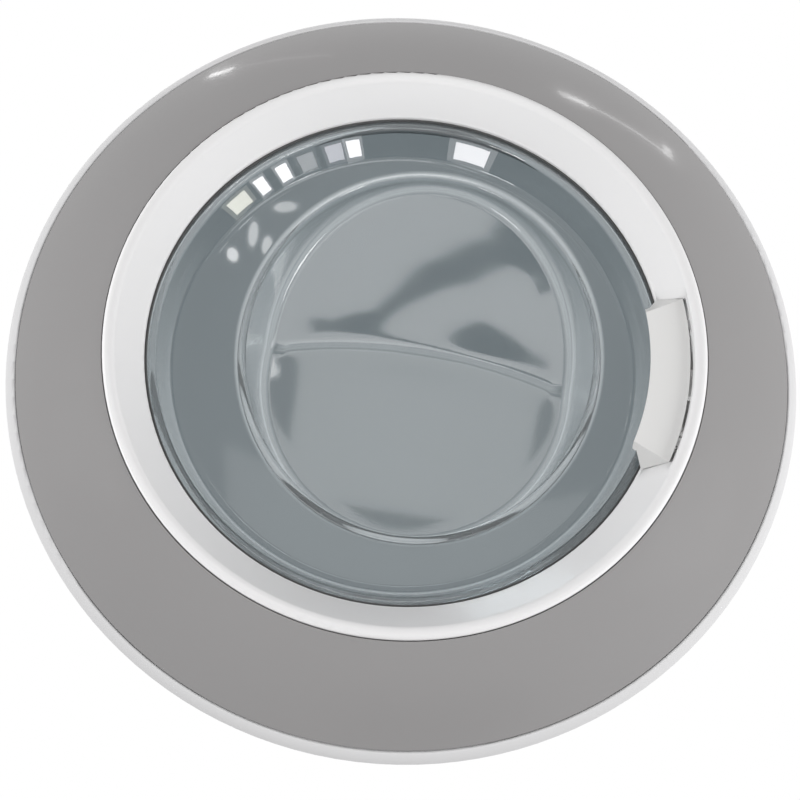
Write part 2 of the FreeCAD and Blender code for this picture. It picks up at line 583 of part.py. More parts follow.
def make_handle_lever():
    """Hollow pull handle with finger lip, two pivot ears and the tail that pushes the hook."""
    shell = handle_block(0, 0).cut(handle_block(HANDLE_WALL, 6.0))
    lip = turned(outline((HANDLE_INNER_R, HANDLE_INNER_Y), (HANDLE_INNER_R + 1.0, HANDLE_INNER_Y + HANDLE_LIP_DEPTH),
                         (HANDLE_INNER_R + 3.0, HANDLE_INNER_Y + HANDLE_LIP_DEPTH),
                         (HANDLE_INNER_R + 5.0, HANDLE_INNER_Y + HANDLE_WALL - 0.9),
                         (HANDLE_INNER_R + 4.0, HANDLE_INNER_Y + 0.2)), 2 * HANDLE_BASE_DEG)
    lip = lip.cut([end_waste(side, 0) for side in (1, -1)])
    under_y = HANDLE_OUTER_Y + HANDLE_WALL / 2
    added = [lip]
    for side in (1, -1):
        z_ends = sorted((side * HANDLE_EAR_Z, side * (HANDLE_EAR_Z + HANDLE_EAR_THICK)))
        web = outline((HANDLE_PIVOT_X - 11, under_y + 2.2), (HANDLE_PIVOT_X + 0.5, under_y + 0.6),
                      (HANDLE_PIVOT_X + HANDLE_BOSS_R, HANDLE_PIVOT_Y), (HANDLE_PIVOT_X - 2, HANDLE_PIVOT_Y + 2),
                      (HANDLE_PIVOT_X - 11, HANDLE_PIVOT_Y - 0.4))
        added.append(along_z(web, *z_ends))
        added.append(rod_z(HANDLE_BOSS_R, HANDLE_PIVOT_X, HANDLE_PIVOT_Y, *z_ends))
    tail = outline((HANDLE_PIVOT_X - 5, under_y + 1.2), (HANDLE_PIVOT_X + 2.3, under_y + 0.9),
                   (TAIL_NOSE_X - 1.0, HANDLE_PIVOT_Y + 0.2), (TAIL_NOSE_X, TAIL_NOSE_Y - 2.5),
                   (TAIL_NOSE_X, TAIL_NOSE_Y), (TAIL_NOSE_X - 3.8, TAIL_NOSE_Y),
                   (HANDLE_PIVOT_X + 1, HANDLE_PIVOT_Y + HANDLE_BOSS_R), (HANDLE_PIVOT_X - 5, HANDLE_PIVOT_Y + 2))
    added.append(along_z(tail, -TAIL_HALF_WIDTH, TAIL_HALF_WIDTH))
    bore = rod_z(HANDLE_PIN_R + RUNNING_GAP, HANDLE_PIVOT_X, HANDLE_PIVOT_Y, -60, 60)
    return fused(shell, *added).cut(bore)


def make_handle_pin():
    reach = HANDLE_LUG_Z + HANDLE_LUG_THICK
    return rod_z(HANDLE_PIN_R, HANDLE_PIVOT_X, HANDLE_PIVOT_Y, -reach, reach)


def make_torsion_spring(wire_r, pin_r, x, y, z):
    """Six-sided wire coiled round a pin from height z, with one leg to the rear and one to +X."""
    coil_r = pin_r + SPRING_GAP + wire_r
    pitch = 2 * wire_r + SPRING_GAP / 2
    turns = SPRING_TURNS + 0.25
    coil = Part.makeHelix(pitch, turns * pitch, coil_r)
    coil.rotate(vec(0, 0), Z_AXIS, 180)
    first, last = coil.Edges[0], coil.Edges[-1]
    coil_start = first.valueAt(first.FirstParameter)
    coil_end = last.valueAt(last.LastParameter)
    start_way = first.tangentAt(first.FirstParameter)
    end_way = last.tangentAt(last.LastParameter)
    rear_tip = coil_start - start_way * SPRING_LEG
    rear_leg = Part.LineSegment(rear_tip, coil_start).toShape()
    side_leg = Part.LineSegment(coil_end, coil_end + end_way * (SPRING_LEG / 2)).toShape()
    path = Part.Wire([rear_leg] + coil.Edges + [side_leg])
    across = start_way.cross(Z_AXIS).normalize()
    upward = across.cross(start_way)
    corners = []
    for index in range(7):
        turn = math.radians(60 * index)
        corners.append(rear_tip + across * (wire_r * math.cos(turn)) + upward * (wire_r * math.sin(turn)))
    wire = Part.makePolygon(corners)
    spring = path.makePipeShell([wire], True, True)
    spring.translate(vec(x, y, z))
    return spring


# Latch

def make_latch_hook():
    """Hook that turns on its own pin: arm in front of the pin, claw behind it."""
    x, y = LATCH_PIVOT_X, LATCH_PIVOT_Y
    arm_back_y = LATCH_ARM_FRONT_Y + LATCH_ARM_THICK
    arm = outline((LATCH_ARM_TIP_X, LATCH_ARM_FRONT_Y), (LATCH_ARM_TIP_X + 6.5, LATCH_ARM_FRONT_Y),
                  (x - 2, y - LATCH_BOSS_R + 0.6), (x, y), (x - LATCH_BOSS_R, y + 0.5),
                  (LATCH_ARM_TIP_X + 6.5, arm_back_y), (LATCH_ARM_TIP_X, arm_back_y))
    low, high = x - LATCH_SHANK_HALF, x + LATCH_SHANK_HALF
    claw_y = LATCH_REACH_Y - 7.5
    shank = outline((low, y), (high, y), (high, LATCH_REACH_Y - 3), (high - 5, LATCH_REACH_Y),
                    (low - LATCH_CLAW, claw_y + 2.5), (low - LATCH_CLAW, claw_y), (low, claw_y))
    hook = fused(rod_z(LATCH_BOSS_R, x, y, LATCH_BOTTOM_Z, LATCH_TOP_Z),
                 along_z(arm, LATCH_BOTTOM_Z, LATCH_TOP_Z), along_z(shank, LATCH_BOTTOM_Z, LATCH_TOP_Z))
    return hook.cut(rod_z(LATCH_PIN_R + RUNNING_GAP, x, y, -40, 40))


def make_latch_pin():
    reach = LATCH_LUG_Z + LATCH_LUG_THICK
    return rod_z(LATCH_PIN_R, LATCH_PIVOT_X, LATCH_PIVOT_Y, -reach, reach)


def make_latch_plate():
    """Steel striker plate round the hook's slot."""
    back = (REAR_PLATE_BACK, REAR_PLATE_BACK + LATCH_PLATE_THICK)
    plate = box((LATCH_PIVOT_X - LATCH_PLATE_HALF_X, LATCH_PIVOT_X + LATCH_PLATE_HALF_X), back,
                (-LATCH_PLATE_HALF_Z, LATCH_PLATE_HALF_Z))
    plate = rounded(plate, 6.0, lambda edge: edge.BoundBox.YLength > LATCH_PLATE_THICK / 2)
    cuts = [box(LATCH_SLOT_X, (back[0] - 1, back[1] + 1), (-LATCH_SLOT_HALF_Z, LATCH_SLOT_HALF_Z))]
    for x, z in latch_screw_places():
        cuts.append(rod_y(SCREW_R + SCREW_HOLE_GAP, x, z, back[0] - 1, back[1] + 1))
    return plate.cut(cuts)


# Hinge

CABINET_KNUCKLE_Z = DOOR_KNUCKLE_HALF + BUSH_FLANGE + KNUCKLE_GAP


def make_hinge_cabinet_leaf():
    """Leaf on the cabinet panel with two cranked arms and their knuckles."""
    leaf_front_y = CABINET_Y - LEAF_THICK
    plate = box((LEAF_START_X, LEAF_END_X), (leaf_front_y, CABINET_Y), (-LEAF_HALF_Z, LEAF_HALF_Z))
    corners = lambda edge: edge.BoundBox.YLength > LEAF_THICK / 2 and edge.BoundBox.XMin > LEAF_END_X - 1
    plate = rounded(plate, 8.0, corners)
    arm_y = (HINGE_Y - LEAF_ARM_THICK / 2, HINGE_Y + LEAF_ARM_THICK / 2)
    pieces = []
    for side in (1, -1):
        z_ends = sorted((side * CABINET_KNUCKLE_Z, side * (CABINET_KNUCKLE_Z + CABINET_KNUCKLE)))
        pieces.append(rod_z(KNUCKLE_R, HINGE_X, HINGE_Y, *z_ends))
        pieces.append(box((HINGE_X, LEAF_START_X + LEAF_ARM_THICK), arm_y, z_ends))
        pieces.append(box((LEAF_START_X, LEAF_START_X + LEAF_ARM_THICK), (arm_y[0], CABINET_Y), z_ends))
    leaf = fused(plate, *pieces)
    middle_x = (LEAF_START_X + LEAF_END_X) / 2
    cuts = [rod_z(HINGE_PIN_R + PRESS_GAP, HINGE_X, HINGE_Y, -60, 60)]
    for side in (1, -1):
        cuts.append(rod_y(LEAF_HOLE_R, middle_x, side * LEAF_HOLE_SPACING / 2, leaf_front_y - 1, CABINET_Y + 1))
    return leaf.cut(cuts)


def make_hinge_door_leaf():
    """T-shaped leaf on the rear frame with the middle knuckle."""
    leaf_y = (REAR_PLATE_BACK, REAR_PLATE_BACK + DOOR_LEAF_THICK)
    stem = box((HINGE_X, DOOR_LEAF_END_X), leaf_y, (-DOOR_KNUCKLE_HALF, DOOR_KNUCKLE_HALF))
    head = box((HINGE_NOTCH_X + 1, DOOR_LEAF_END_X), leaf_y, (-DOOR_LEAF_HALF_Z, DOOR_LEAF_HALF_Z))
    knuckle = rod_z(KNUCKLE_R, HINGE_X, HINGE_Y, -DOOR_KNUCKLE_HALF, DOOR_KNUCKLE_HALF)
    cuts = [rod_z(BUSH_R + PRESS_GAP, HINGE_X, HINGE_Y, -60, 60)]
    for x, z in leaf_screw_places():
        cuts.append(rod_y(SCREW_R + SCREW_HOLE_GAP, x, z, leaf_y[0] - 1, leaf_y[1] + 1))
    return fused(stem, head, knuckle).cut(cuts)


def make_hinge_pin():
    """Headed pin through all three knuckles."""
    end_z = CABINET_KNUCKLE_Z + CABINET_KNUCKLE
    pin = rod_z(HINGE_PIN_R, HINGE_X, HINGE_Y, -end_z - 1.5, end_z)
    head = rod_z(HINGE_PIN_R + 2, HINGE_X, HINGE_Y, end_z, end_z + 2.5)
    return fused(pin, head)


def make_hinge_bush(side):
    """Flanged plastic bush in one end of the middle knuckle."""
    sleeve_z = sorted((side * (DOOR_KNUCKLE_HALF - 9), side * DOOR_KNUCKLE_HALF))
    flange_z = sorted((side * DOOR_KNUCKLE_HALF, side * (DOOR_KNUCKLE_HALF + BUSH_FLANGE)))
    bush = fused(rod_z(BUSH_R, HINGE_X, HINGE_Y, *sleeve_z), rod_z(KNUCKLE_R, HINGE_X, HINGE_Y, *flange_z))
    return bush.cut(rod_z(HINGE_PIN_R + RUNNING_GAP, HINGE_X, HINGE_Y, -60, 60))


# All pieces, moved to the hinge leaf's origin and written out

def all_pieces():
    screw_seat = REAR_PLATE_BACK
    return {
        "front_frame": make_front_frame(),
        "trim_ring": make_trim_ring(),
        "window_surround": make_window_surround(),
        "glass_bowl": make_glass_bowl(),
        "glass_seal": make_glass_seal(),
        "rear_frame": make_rear_frame(),
        "frame_screws": make_screws(frame_screw_places(), screw_seat, SCREW_LENGTH),
        "surround_screws": make_screws(surround_screw_places(), screw_seat, SCREW_LENGTH),
        "handle_lever": make_handle_lever(),
        "handle_pin": make_handle_pin(),
        "handle_spring": make_torsion_spring(HANDLE_WIRE_R, HANDLE_PIN_R, HANDLE_PIVOT_X, HANDLE_PIVOT_Y,
                                             (TAIL_HALF_WIDTH + HANDLE_EAR_Z) / 2),
        "latch_hook": make_latch_hook(),
        "latch_pin": make_latch_pin(),
        "latch_spring": make_torsion_spring(LATCH_WIRE_R, LATCH_PIN_R, LATCH_PIVOT_X, LATCH_PIVOT_Y,
                                            (LATCH_BOTTOM_Z - LATCH_LUG_Z) / 2 - 2.0),
        "latch_plate": make_latch_plate(),
        "latch_screws": make_screws(latch_screw_places(), screw_seat + LATCH_PLATE_THICK, SCREW_LENGTH),
        "hinge_cabinet_leaf": make_hinge_cabinet_leaf(),
        "hinge_door_leaf": make_hinge_door_leaf(),
        "hinge_pin": make_hinge_pin(),
        "hinge_bush_upper": make_hinge_bush(1),
        "hinge_bush_lower": make_hinge_bush(-1),
        "hinge_screws": make_screws(leaf_screw_places(), screw_seat + DOOR_LEAF_THICK, SCREW_LENGTH),
    }


os.makedirs("parts", exist_ok=True)
for name, shape in all_pieces().items():
    placed = shape.copy()
    placed.translate(MOVED_ORIGIN * -1)
    placed.exportStep("parts/" + name + ".step")
    print(name, "solids", len(placed.Solids), "valid", placed.isValid(), "volume", round(placed.Volume))
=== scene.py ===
import math

import bmesh
import bpy
from mathutils import Matrix, Vector


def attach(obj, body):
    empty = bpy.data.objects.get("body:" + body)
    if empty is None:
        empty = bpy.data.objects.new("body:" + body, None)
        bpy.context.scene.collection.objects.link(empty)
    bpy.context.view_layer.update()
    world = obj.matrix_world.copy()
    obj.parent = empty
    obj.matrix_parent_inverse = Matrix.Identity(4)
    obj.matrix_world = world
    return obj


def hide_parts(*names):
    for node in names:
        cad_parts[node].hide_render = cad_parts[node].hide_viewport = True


# Looks of a round porthole door for a washing machine.
# The turned rings and the glass are remade as fine lathe meshes, and the mouldings are smoothed
# copies of the frame's own pieces. Screws come from one Geometry Nodes tree.
# Sizes are in millimetres about the door's axis, and place() turns them into metres.

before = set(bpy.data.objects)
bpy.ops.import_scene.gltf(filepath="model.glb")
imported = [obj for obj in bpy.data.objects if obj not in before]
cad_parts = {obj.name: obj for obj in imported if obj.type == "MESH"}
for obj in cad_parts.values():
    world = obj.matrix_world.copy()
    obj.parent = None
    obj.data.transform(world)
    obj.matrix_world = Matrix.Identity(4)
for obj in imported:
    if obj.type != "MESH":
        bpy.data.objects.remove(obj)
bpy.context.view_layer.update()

# Place of the door's axis in the frame, and the fineness of the pieces
DOOR_CENTRE = Vector((0.177, -0.013, 0.0))
MM = 0.001
TURN_STEPS = 384
SMOOTH_ANGLE = math.radians(34)
SOFT_ANGLE = math.radians(60)
CORNER_STEPS = 6
BEVEL_STEPS = 3
BEVEL_ANGLE = math.radians(25)
FLAT_ANGLE = math.radians(0.5)
MERGE_DISTANCE = 1e-7
JOIN_DISTANCE = 2e-6

# Glass bowl
FLANGE_R = 162.5
FLANGE_FRONT_Y = -11.0
GLASS_THICK = 5.0
MOUTH_R = 147.0
SHOULDER_R = 140.0
SHOULDER_Y = 15.0
SHOULDER_DIP = 4.0
POCKET_X = 8.5
POCKET_Z = 12.0
POCKET_HALF_WIDTH = 109.0
POCKET_HALF_HEIGHT = 118.0
POCKET_DRAFT = 11.0
POCKET_START_Y = 5.0
DRAFT_BEYOND = 10.0
CREASE_Y = 78.0
CREASE_Z = 33.0
CREASE_ARC_R = 270.0
UPPER_SLOPE = math.tan(math.radians(28.0))
LOWER_SLOPE = math.tan(math.radians(6.0))
CREASE_SOFTNESS = 1.6
INNER_CUTS = {"mouth": 3.2, "shoulder": 5.0, "rim": 6.4, "foot": 5.0}
OUTER_CUTS = {"mouth": 0.8, "shoulder": 9.0, "rim": 2.4, "foot": 9.0}
FLOOR_STEPS = 48
FLOOR_START = 0.11
FOOT_GUESS_Y = CREASE_Y - 10.0
MEET_ROUNDS = 40
BEND_SHARE = 0.48
BEND_STEPS = 8
MOUTH_STEPS = 6
# Painted light on the glass: shares of a pale colour laid at the mouth, on the pocket's rim and foot, and
# along the crease, where the glass would otherwise show dark, kept in a point attribute
MOUTH_PAINTED_LIGHT = 0.4
RIM_PAINTED_LIGHT = 0.5
FOOT_PAINTED_LIGHT = 0.45
CREASE_PAINTED_LIGHT = 0.25
CREASE_REACH = 3.0
PAINTED_LIGHT_ATTRIBUTE = "painted_glass_light"

# Screw seats
FRAME_SCREW_R = 204.98
FRAME_SCREW_ANGLES = [22.5 + 45 * index for index in range(8)]
SURROUND_SCREW_R = 169.2
SURROUND_SCREW_ANGLES = (40, 90, 140, 220, 270, 320)
REAR_PLATE_BACK_Y = 3.0
LATCH_SCREW_X = 188.0
LATCH_SCREW_Z = 20.0
LATCH_PLATE_BACK_Y = 4.5
LEAF_SCREW_X = -177.0
LEAF_SCREW_Z = 15.0
LEAF_BACK_Y = 5.5

# Pan-head screw as (radius, depth) from the head's top to its tip, with its cross recess,
# whose floor and top are given as a depth and a share of the full size
SCREW_PROFILE = (
    (0.0, 2.4), (1.2, 2.38), (2.2, 2.2), (3.0, 1.82), (3.55, 1.25), (3.8, 0.7), (3.8, 0.15),
    (3.65, 0.0), (1.7, 0.0), (1.7, -10.6), (1.1, -12.0), (0.0, -12.0))
SCREW_STEPS = 40
SCREW_ANGLE = math.radians(30)
RECESS_LENGTH = 1.95
RECESS_WIDTH = 0.42
RECESS_FLOOR = (0.9, 0.55)
RECESS_TOP = (3.0, 1.0)
SQUARE_CORNERS = ((-1, -1), (1, -1), (1, 1), (-1, 1))
BLOCK_FACES = ((0, 1, 2, 3), (4, 5, 6, 7), (0, 1, 5, 4), (1, 2, 6, 5), (2, 3, 7, 6), (3, 0, 4, 7))

# Trim ring and seal
TRIM_OUTER = (228.2, -6.5)
TRIM_INNER = (174.2, -33.6)
TRIM_CROWN = 2.4
TRIM_THICK = 2.0
TRIM_EDGE_SHARE = 0.012
TRIM_EDGE_CUT = 0.5
TRIM_EDGE_STEPS = 4
TRIM_FRONT_STEPS = 24
TRIM_BACK_STEPS = 12
TRIM_ANGLE = math.radians(50)
SEAL_INNER_R = 151.4
SEAL_OUTER_R = 155.5
SEAL_BACK_Y = -11.05
SEAL_FRONT_Y = -12.4
SEAL_LIP_R = 152.65
SEAL_LIP_Y = -13.6
SEAL_CUTS = (0.3, 0.3, 0.3, 0.6, 0.8)


# Meshes

def place(radius_x, depth_y, radius_z):
    """A point given in millimetres about the door's axis, in metres in the frame."""
    return DOOR_CENTRE + Vector((radius_x, depth_y, radius_z)) * MM


def mesh_object(name, points, faces, angle=SMOOTH_ANGLE, painted_shares=None):
    """A closed, outward-facing, smoothly shaded mesh object, with a share of painted light at each point if
    given.
    """
    mesh = bpy.data.meshes.new(name)
    mesh.from_pydata(points, [], faces)
    if painted_shares:
        mesh.attributes.new(PAINTED_LIGHT_ATTRIBUTE, "FLOAT", "POINT").data.foreach_set("value", painted_shares)
    work = bmesh.new()
    work.from_mesh(mesh)
    bmesh.ops.remove_doubles(work, verts=work.verts, dist=MERGE_DISTANCE)
    bmesh.ops.recalc_face_normals(work, faces=work.faces)
    work.to_mesh(mesh)
    work.free()
    return finished(name, mesh, angle)


def finished(name, mesh, angle=SMOOTH_ANGLE):
    """Object for a mesh, shaded smooth up to the given angle."""
    mesh.shade_smooth()
    mesh.set_sharp_from_angle(angle=angle)
    piece = bpy.data.objects.new(name, mesh)
    bpy.context.scene.collection.objects.link(piece)
    return piece


def ring_faces(loops, steps, closed):
    """Faces between neighbouring loops of equal length, joined end to end when closed."""
    faces = []
    for row in range(loops if closed else loops - 1):
        here = row * steps
        there = (row + 1) % loops * steps
        for column in range(steps):
            after = (column + 1) % steps
            faces.append((here + column, here + after, there + after, there + column))
    return faces


def bent_corner(before, corner, after, cut, steps=CORNER_STEPS):
    """Points of a soft curve that replaces a corner, starting cut away from it on both sides."""
    corner = Vector(corner)
    start = corner + (Vector(before) - corner).normalized() * cut
    end = corner + (Vector(after) - corner).normalized() * cut
    curve = []
    for index in range(steps + 1):
        share = index / steps
        curve.append(start * (1 - share) ** 2 + corner * 2 * share * (1 - share) + end * share ** 2)
    return curve


def soft_profile(corners, cuts):
    """A closed (radius, depth) profile whose corners are bent by their cuts."""
    profile = []
    count = len(corners)
    for index, cut in enumerate(cuts):
        before, corner, after = corners[index - 1], corners[index], corners[(index + 1) % count]
        profile += bent_corner(before, corner, after, cut) if cut else [Vector(corner)]
    return profile


def lathe(name, profile, angle=SMOOTH_ANGLE):
    """Turns a closed (radius, depth) profile about the door's axis."""
    points = []
    for radius, depth in profile:
        for step in range(TURN_STEPS):
            turn = 2 * math.pi * step / TURN_STEPS
            points.append(place(radius * math.cos(turn), depth, radius * math.sin(turn)))
    return mesh_object(name, points, ring_faces(len(profile), TURN_STEPS, True), angle)


def make_trim_ring():
    """Grey crowned ring with softened edges."""
    def crown(share, back):
        radius = TRIM_INNER[0] + share * (TRIM_OUTER[0] - TRIM_INNER[0])
        depth = TRIM_INNER[1] + share * (TRIM_OUTER[1] - TRIM_INNER[1])
        return radius, depth - 4 * TRIM_CROWN * share * (1 - share) + back

    front = []
    for index in range(TRIM_FRONT_STEPS + 1):
        share = TRIM_EDGE_SHARE + (1 - 2 * TRIM_EDGE_SHARE) * index / TRIM_FRONT_STEPS
        front.append(Vector(crown(share, 0.0)))
    back = []
    for index in range(TRIM_BACK_STEPS + 1):
        back.append(Vector(crown(1 - index / TRIM_BACK_STEPS, TRIM_THICK)))
    outer = bent_corner(front[-1], crown(1, 0.0), back[0], TRIM_EDGE_CUT, TRIM_EDGE_STEPS)
    inner = bent_corner(back[-1], crown(0, 0.0), front[0], TRIM_EDGE_CUT, TRIM_EDGE_STEPS)
    return lathe("grey_trim_ring", front + outer + back + inner, TRIM_ANGLE)


def make_seal():
    """Black rubber ring with a rounded lip against the glass."""
    corners = [(SEAL_INNER_R, SEAL_BACK_Y), (SEAL_OUTER_R, SEAL_BACK_Y), (SEAL_OUTER_R, SEAL_FRONT_Y),
               (SEAL_LIP_R, SEAL_FRONT_Y), (SEAL_INNER_R, SEAL_LIP_Y)]
    return lathe("window_seal", soft_profile(corners, SEAL_CUTS), SOFT_ANGLE)


def floor_facets(x, z, grown):
    """Depths of the two facets of the pocket's floor, an upper cone and a lower plane."""
    reach = math.hypot(x - POCKET_X, z - CREASE_Z + CREASE_ARC_R)
    upper = CREASE_Y + grown * math.hypot(1, UPPER_SLOPE) - (reach - CREASE_ARC_R) * UPPER_SLOPE
    lower = CREASE_Y + grown * math.hypot(1, LOWER_SLOPE) + (z - CREASE_Z) * LOWER_SLOPE
    return upper, lower


def pocket_floor_y(x, z, grown):
    """Depth of the pocket's floor, softened where its facets meet."""
    upper, lower = floor_facets(x, z, grown)
    gap = math.hypot(upper - lower, CREASE_SOFTNESS)
    return (upper + lower - gap) / 2


def pocket_wall(turn, y, grown):
    """(x, z) on the drafted wall of the oval pocket at that depth."""
    shrink = POCKET_DRAFT * (y - POCKET_START_Y) / (CREASE_Y + DRAFT_BEYOND + grown - POCKET_START_Y)
    return (POCKET_X + (POCKET_HALF_WIDTH + grown - shrink) * math.cos(turn),
            POCKET_Z + (POCKET_HALF_HEIGHT + grown - shrink) * math.sin(turn))


def dish_y(x, z, grown):
    """Depth of the shoulder, a very flat cone."""
    return SHOULDER_Y + grown + SHOULDER_DIP * (1 - math.hypot(x, z) / (SHOULDER_R + grown))


def meet(turn, grown, surface, start):
    """Where the pocket's wall meets the surface, as (x, y, z)."""
    y = start
    for _ in range(MEET_ROUNDS):
        x, z = pocket_wall(turn, y, grown)
        y = surface(x, z, grown)
    return Vector((x, y, z))


def bowl_line(turn, grown, cuts):
    """Points from the mouth to the middle of the floor, along one direction round the bowl."""
    way = Vector((math.cos(turn), 0.0, math.sin(turn)))
    mouth = way * (MOUTH_R + grown) + Vector((0, FLANGE_FRONT_Y + grown, 0))
    flat = way * FLANGE_R + Vector((0, mouth.y, 0))
    shoulder = way * (SHOULDER_R + grown) + Vector((0, SHOULDER_Y + grown, 0))
    rim = meet(turn, grown, dish_y, SHOULDER_Y)
    foot = meet(turn, grown, pocket_floor_y, FOOT_GUESS_Y)
    ledge = (rim - shoulder).length * BEND_SHARE
    wall = (foot - rim).length * BEND_SHARE
    start = floor_point(foot, FLOOR_START, grown)
    line = [flat] + bent_corner(flat, mouth, shoulder, cuts["mouth"], MOUTH_STEPS)
    line += bent_corner(mouth, shoulder, rim, min(cuts["shoulder"], ledge), BEND_STEPS)
    line += bent_corner(shoulder, rim, foot, min(cuts["rim"], ledge, wall), BEND_STEPS)
    line += [rim.lerp(foot, 0.5)]
    line += bent_corner(rim, foot, start, min(cuts["foot"], wall), BEND_STEPS)
    for index in range(FLOOR_STEPS + 1):
        share = FLOOR_START + (1 - FLOOR_START) * index / FLOOR_STEPS
        line.append(floor_point(foot, share, grown))
    return line


def floor_point(foot, share, grown):
    """A point of the pocket's floor on the way from the wall's foot to the middle."""
    x = foot.x + (POCKET_X - foot.x) * share
    z = foot.z + (POCKET_Z - foot.z) * share
    return Vector((x, pocket_floor_y(x, z, grown), z))


def line_painted_shares(line, grown):
    """Shares of painted light along one line of the bowl: at its mouth, the pocket's rim and foot, and the
    crease.
    """
    swell = [math.sin(math.pi * index / BEND_STEPS) for index in range(BEND_STEPS + 1)]
    shades = [MOUTH_PAINTED_LIGHT] * (1 + MOUTH_STEPS) + [0.0] * (1 + BEND_STEPS + 1)
    shades += [RIM_PAINTED_LIGHT * share for share in swell] + [0.0] + [FOOT_PAINTED_LIGHT * share for share in swell]
    for point in line[len(shades):]:
        upper, lower = floor_facets(point.x, point.z, grown)
        shades.append(CREASE_PAINTED_LIGHT * max(0.0, 1 - abs(upper - lower) / CREASE_REACH))
    return shades


def make_glass_bowl():
    """Pressed glass bowl: inner skin, flange edge and outer skin as one closed mesh, with shares of painted
    light at its points.
    """
    lines, shades = [], []
    for step in range(TURN_STEPS):
        turn = 2 * math.pi * step / TURN_STEPS
        inner = bowl_line(turn, 0.0, INNER_CUTS)
        outer = bowl_line(turn, GLASS_THICK, OUTER_CUTS)
        lines.append(inner[::-1] + outer)
        shades.append(line_painted_shares(inner, 0.0)[::-1] + line_painted_shares(outer, GLASS_THICK))
    loops = len(lines[0])
    points = [place(*line[row]) for row in range(loops) for line in lines]
    painted_shares = [shade[row] for row in range(loops) for shade in shades]
    faces = ring_faces(loops, TURN_STEPS, False)
    return mesh_object("pressed_glass_bowl", points, faces, SOFT_ANGLE, painted_shares)


def applied(piece):
    """Turns a piece's modifiers into its plain mesh."""
    evaluated = piece.evaluated_get(bpy.context.evaluated_depsgraph_get())
    mesh = bpy.data.meshes.new_from_object(evaluated)
    piece.modifiers.clear()
    piece.data = mesh
    return piece


def joined_copy(node, name):
    """Copy of a piece of the frame with its loose triangles joined."""
    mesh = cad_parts[node].data.copy()
    mesh.name = name
    work = bmesh.new()
    work.from_mesh(mesh)
    bmesh.ops.remove_doubles(work, verts=work.verts, dist=JOIN_DISTANCE)
    bmesh.ops.dissolve_limit(work, angle_limit=FLAT_ANGLE, verts=work.verts, edges=work.edges)
    work.to_mesh(mesh)
    work.free()
    mesh.materials.clear()
    return finished(name, mesh)


def evened(piece):
    """Keeps the large faces of a smoothly shaded piece true beside its small rounds."""
    even = piece.modifiers.new("even_normals", "WEIGHTED_NORMAL")
    even.keep_sharp = True
    return applied(piece)


def bevelled_copy(node, name, width):
    """Copy of a moulding or a pressed part with its edges rounded."""
    piece = joined_copy(node, name)
    bevel = piece.modifiers.new("edge_round", "BEVEL")
    bevel.width = width
    bevel.segments = BEVEL_STEPS
    bevel.limit_method = "ANGLE"
    bevel.angle_limit = BEVEL_ANGLE
    bevel.harden_normals = True
    return evened(piece)


# Screws

def make_screw():
    """Pan-head screw with a cross recess, its seat at the origin and its head towards the back."""
    points = []
    for radius, depth in SCREW_PROFILE:
        for step in range(SCREW_STEPS):
            turn = 2 * math.pi * step / SCREW_STEPS
            points.append(Vector((radius * math.cos(turn), depth, radius * math.sin(turn))) * MM)
    screw = mesh_object("screw_blank", points, ring_faces(len(SCREW_PROFILE), SCREW_STEPS, False))
    cutter_points = []
    cutter_faces = []
    for half_x, half_z in ((RECESS_LENGTH, RECESS_WIDTH), (RECESS_WIDTH, RECESS_LENGTH)):
        first = len(cutter_points)
        for depth, share in (RECESS_FLOOR, RECESS_TOP):
            for x, z in SQUARE_CORNERS:
                cutter_points.append(Vector((x * half_x * share, depth, z * half_z * share)) * MM)
        for face in BLOCK_FACES:
            cutter_faces.append(tuple(first + corner for corner in face))
    cutter = mesh_object("screw_recess", cutter_points, cutter_faces)
    recess = screw.modifiers.new("recess", "BOOLEAN")
    recess.operation = "DIFFERENCE"
    recess.solver = "EXACT"
    recess.use_self = True
    recess.object = cutter
    applied(screw)
    bpy.data.objects.remove(cutter)
    screw.data.shade_smooth()
    screw.data.set_sharp_from_angle(angle=SCREW_ANGLE)
    return screw


def screw_tree():
    """Geometry Nodes tree that sets a turned screw on every seat point."""
    tree = bpy.data.node_groups.new("screws_on_seats", "GeometryNodeTree")
    tree.is_modifier = True
    for label, kind in (("Seats", "NodeSocketGeometry"), ("Screw", "NodeSocketObject"),
                        ("Screw Size", "NodeSocketFloat"), ("Turn Seed", "NodeSocketInt"),
                        ("Finish", "NodeSocketMaterial")):
        tree.interface.new_socket(name=label, in_out="INPUT", socket_type=kind)
    tree.interface.new_socket(name="Screws", in_out="OUTPUT", socket_type="NodeSocketGeometry")
    nodes, links = tree.nodes, tree.links
    given = nodes.new("NodeGroupInput")
    made = nodes.new("NodeGroupOutput")
    shape = nodes.new("GeometryNodeObjectInfo")
    links.new(given.outputs["Screw"], shape.inputs["Object"])
    chance = nodes.new("FunctionNodeRandomValue")
    chance.data_type = "FLOAT"
    most = next(socket for socket in chance.inputs if socket.name == "Max" and socket.type == "VALUE")
    most.default_value = math.pi
    links.new(given.outputs["Turn Seed"], chance.inputs["Seed"])
    turn = nodes.new("ShaderNodeCombineXYZ")
    drawn = next(socket for socket in chance.outputs if socket.type == "VALUE")
    links.new(drawn, turn.inputs["Y"])
    scatter = nodes.new("GeometryNodeInstanceOnPoints")
    links.new(given.outputs["Seats"], scatter.inputs["Points"])
    links.new(shape.outputs["Geometry"], scatter.inputs["Instance"])
    links.new(turn.outputs["Vector"], scatter.inputs["Rotation"])
    links.new(given.outputs["Screw Size"], scatter.inputs["Scale"])
    real = nodes.new("GeometryNodeRealizeInstances")
    links.new(scatter.outputs["Instances"], real.inputs["Geometry"])
    finish = nodes.new("GeometryNodeSetMaterial")
    links.new(real.outputs["Geometry"], finish.inputs["Geometry"])
    links.new(given.outputs["Finish"], finish.inputs["Material"])
    links.new(finish.outputs["Geometry"], made.inputs["Screws"])
    return tree


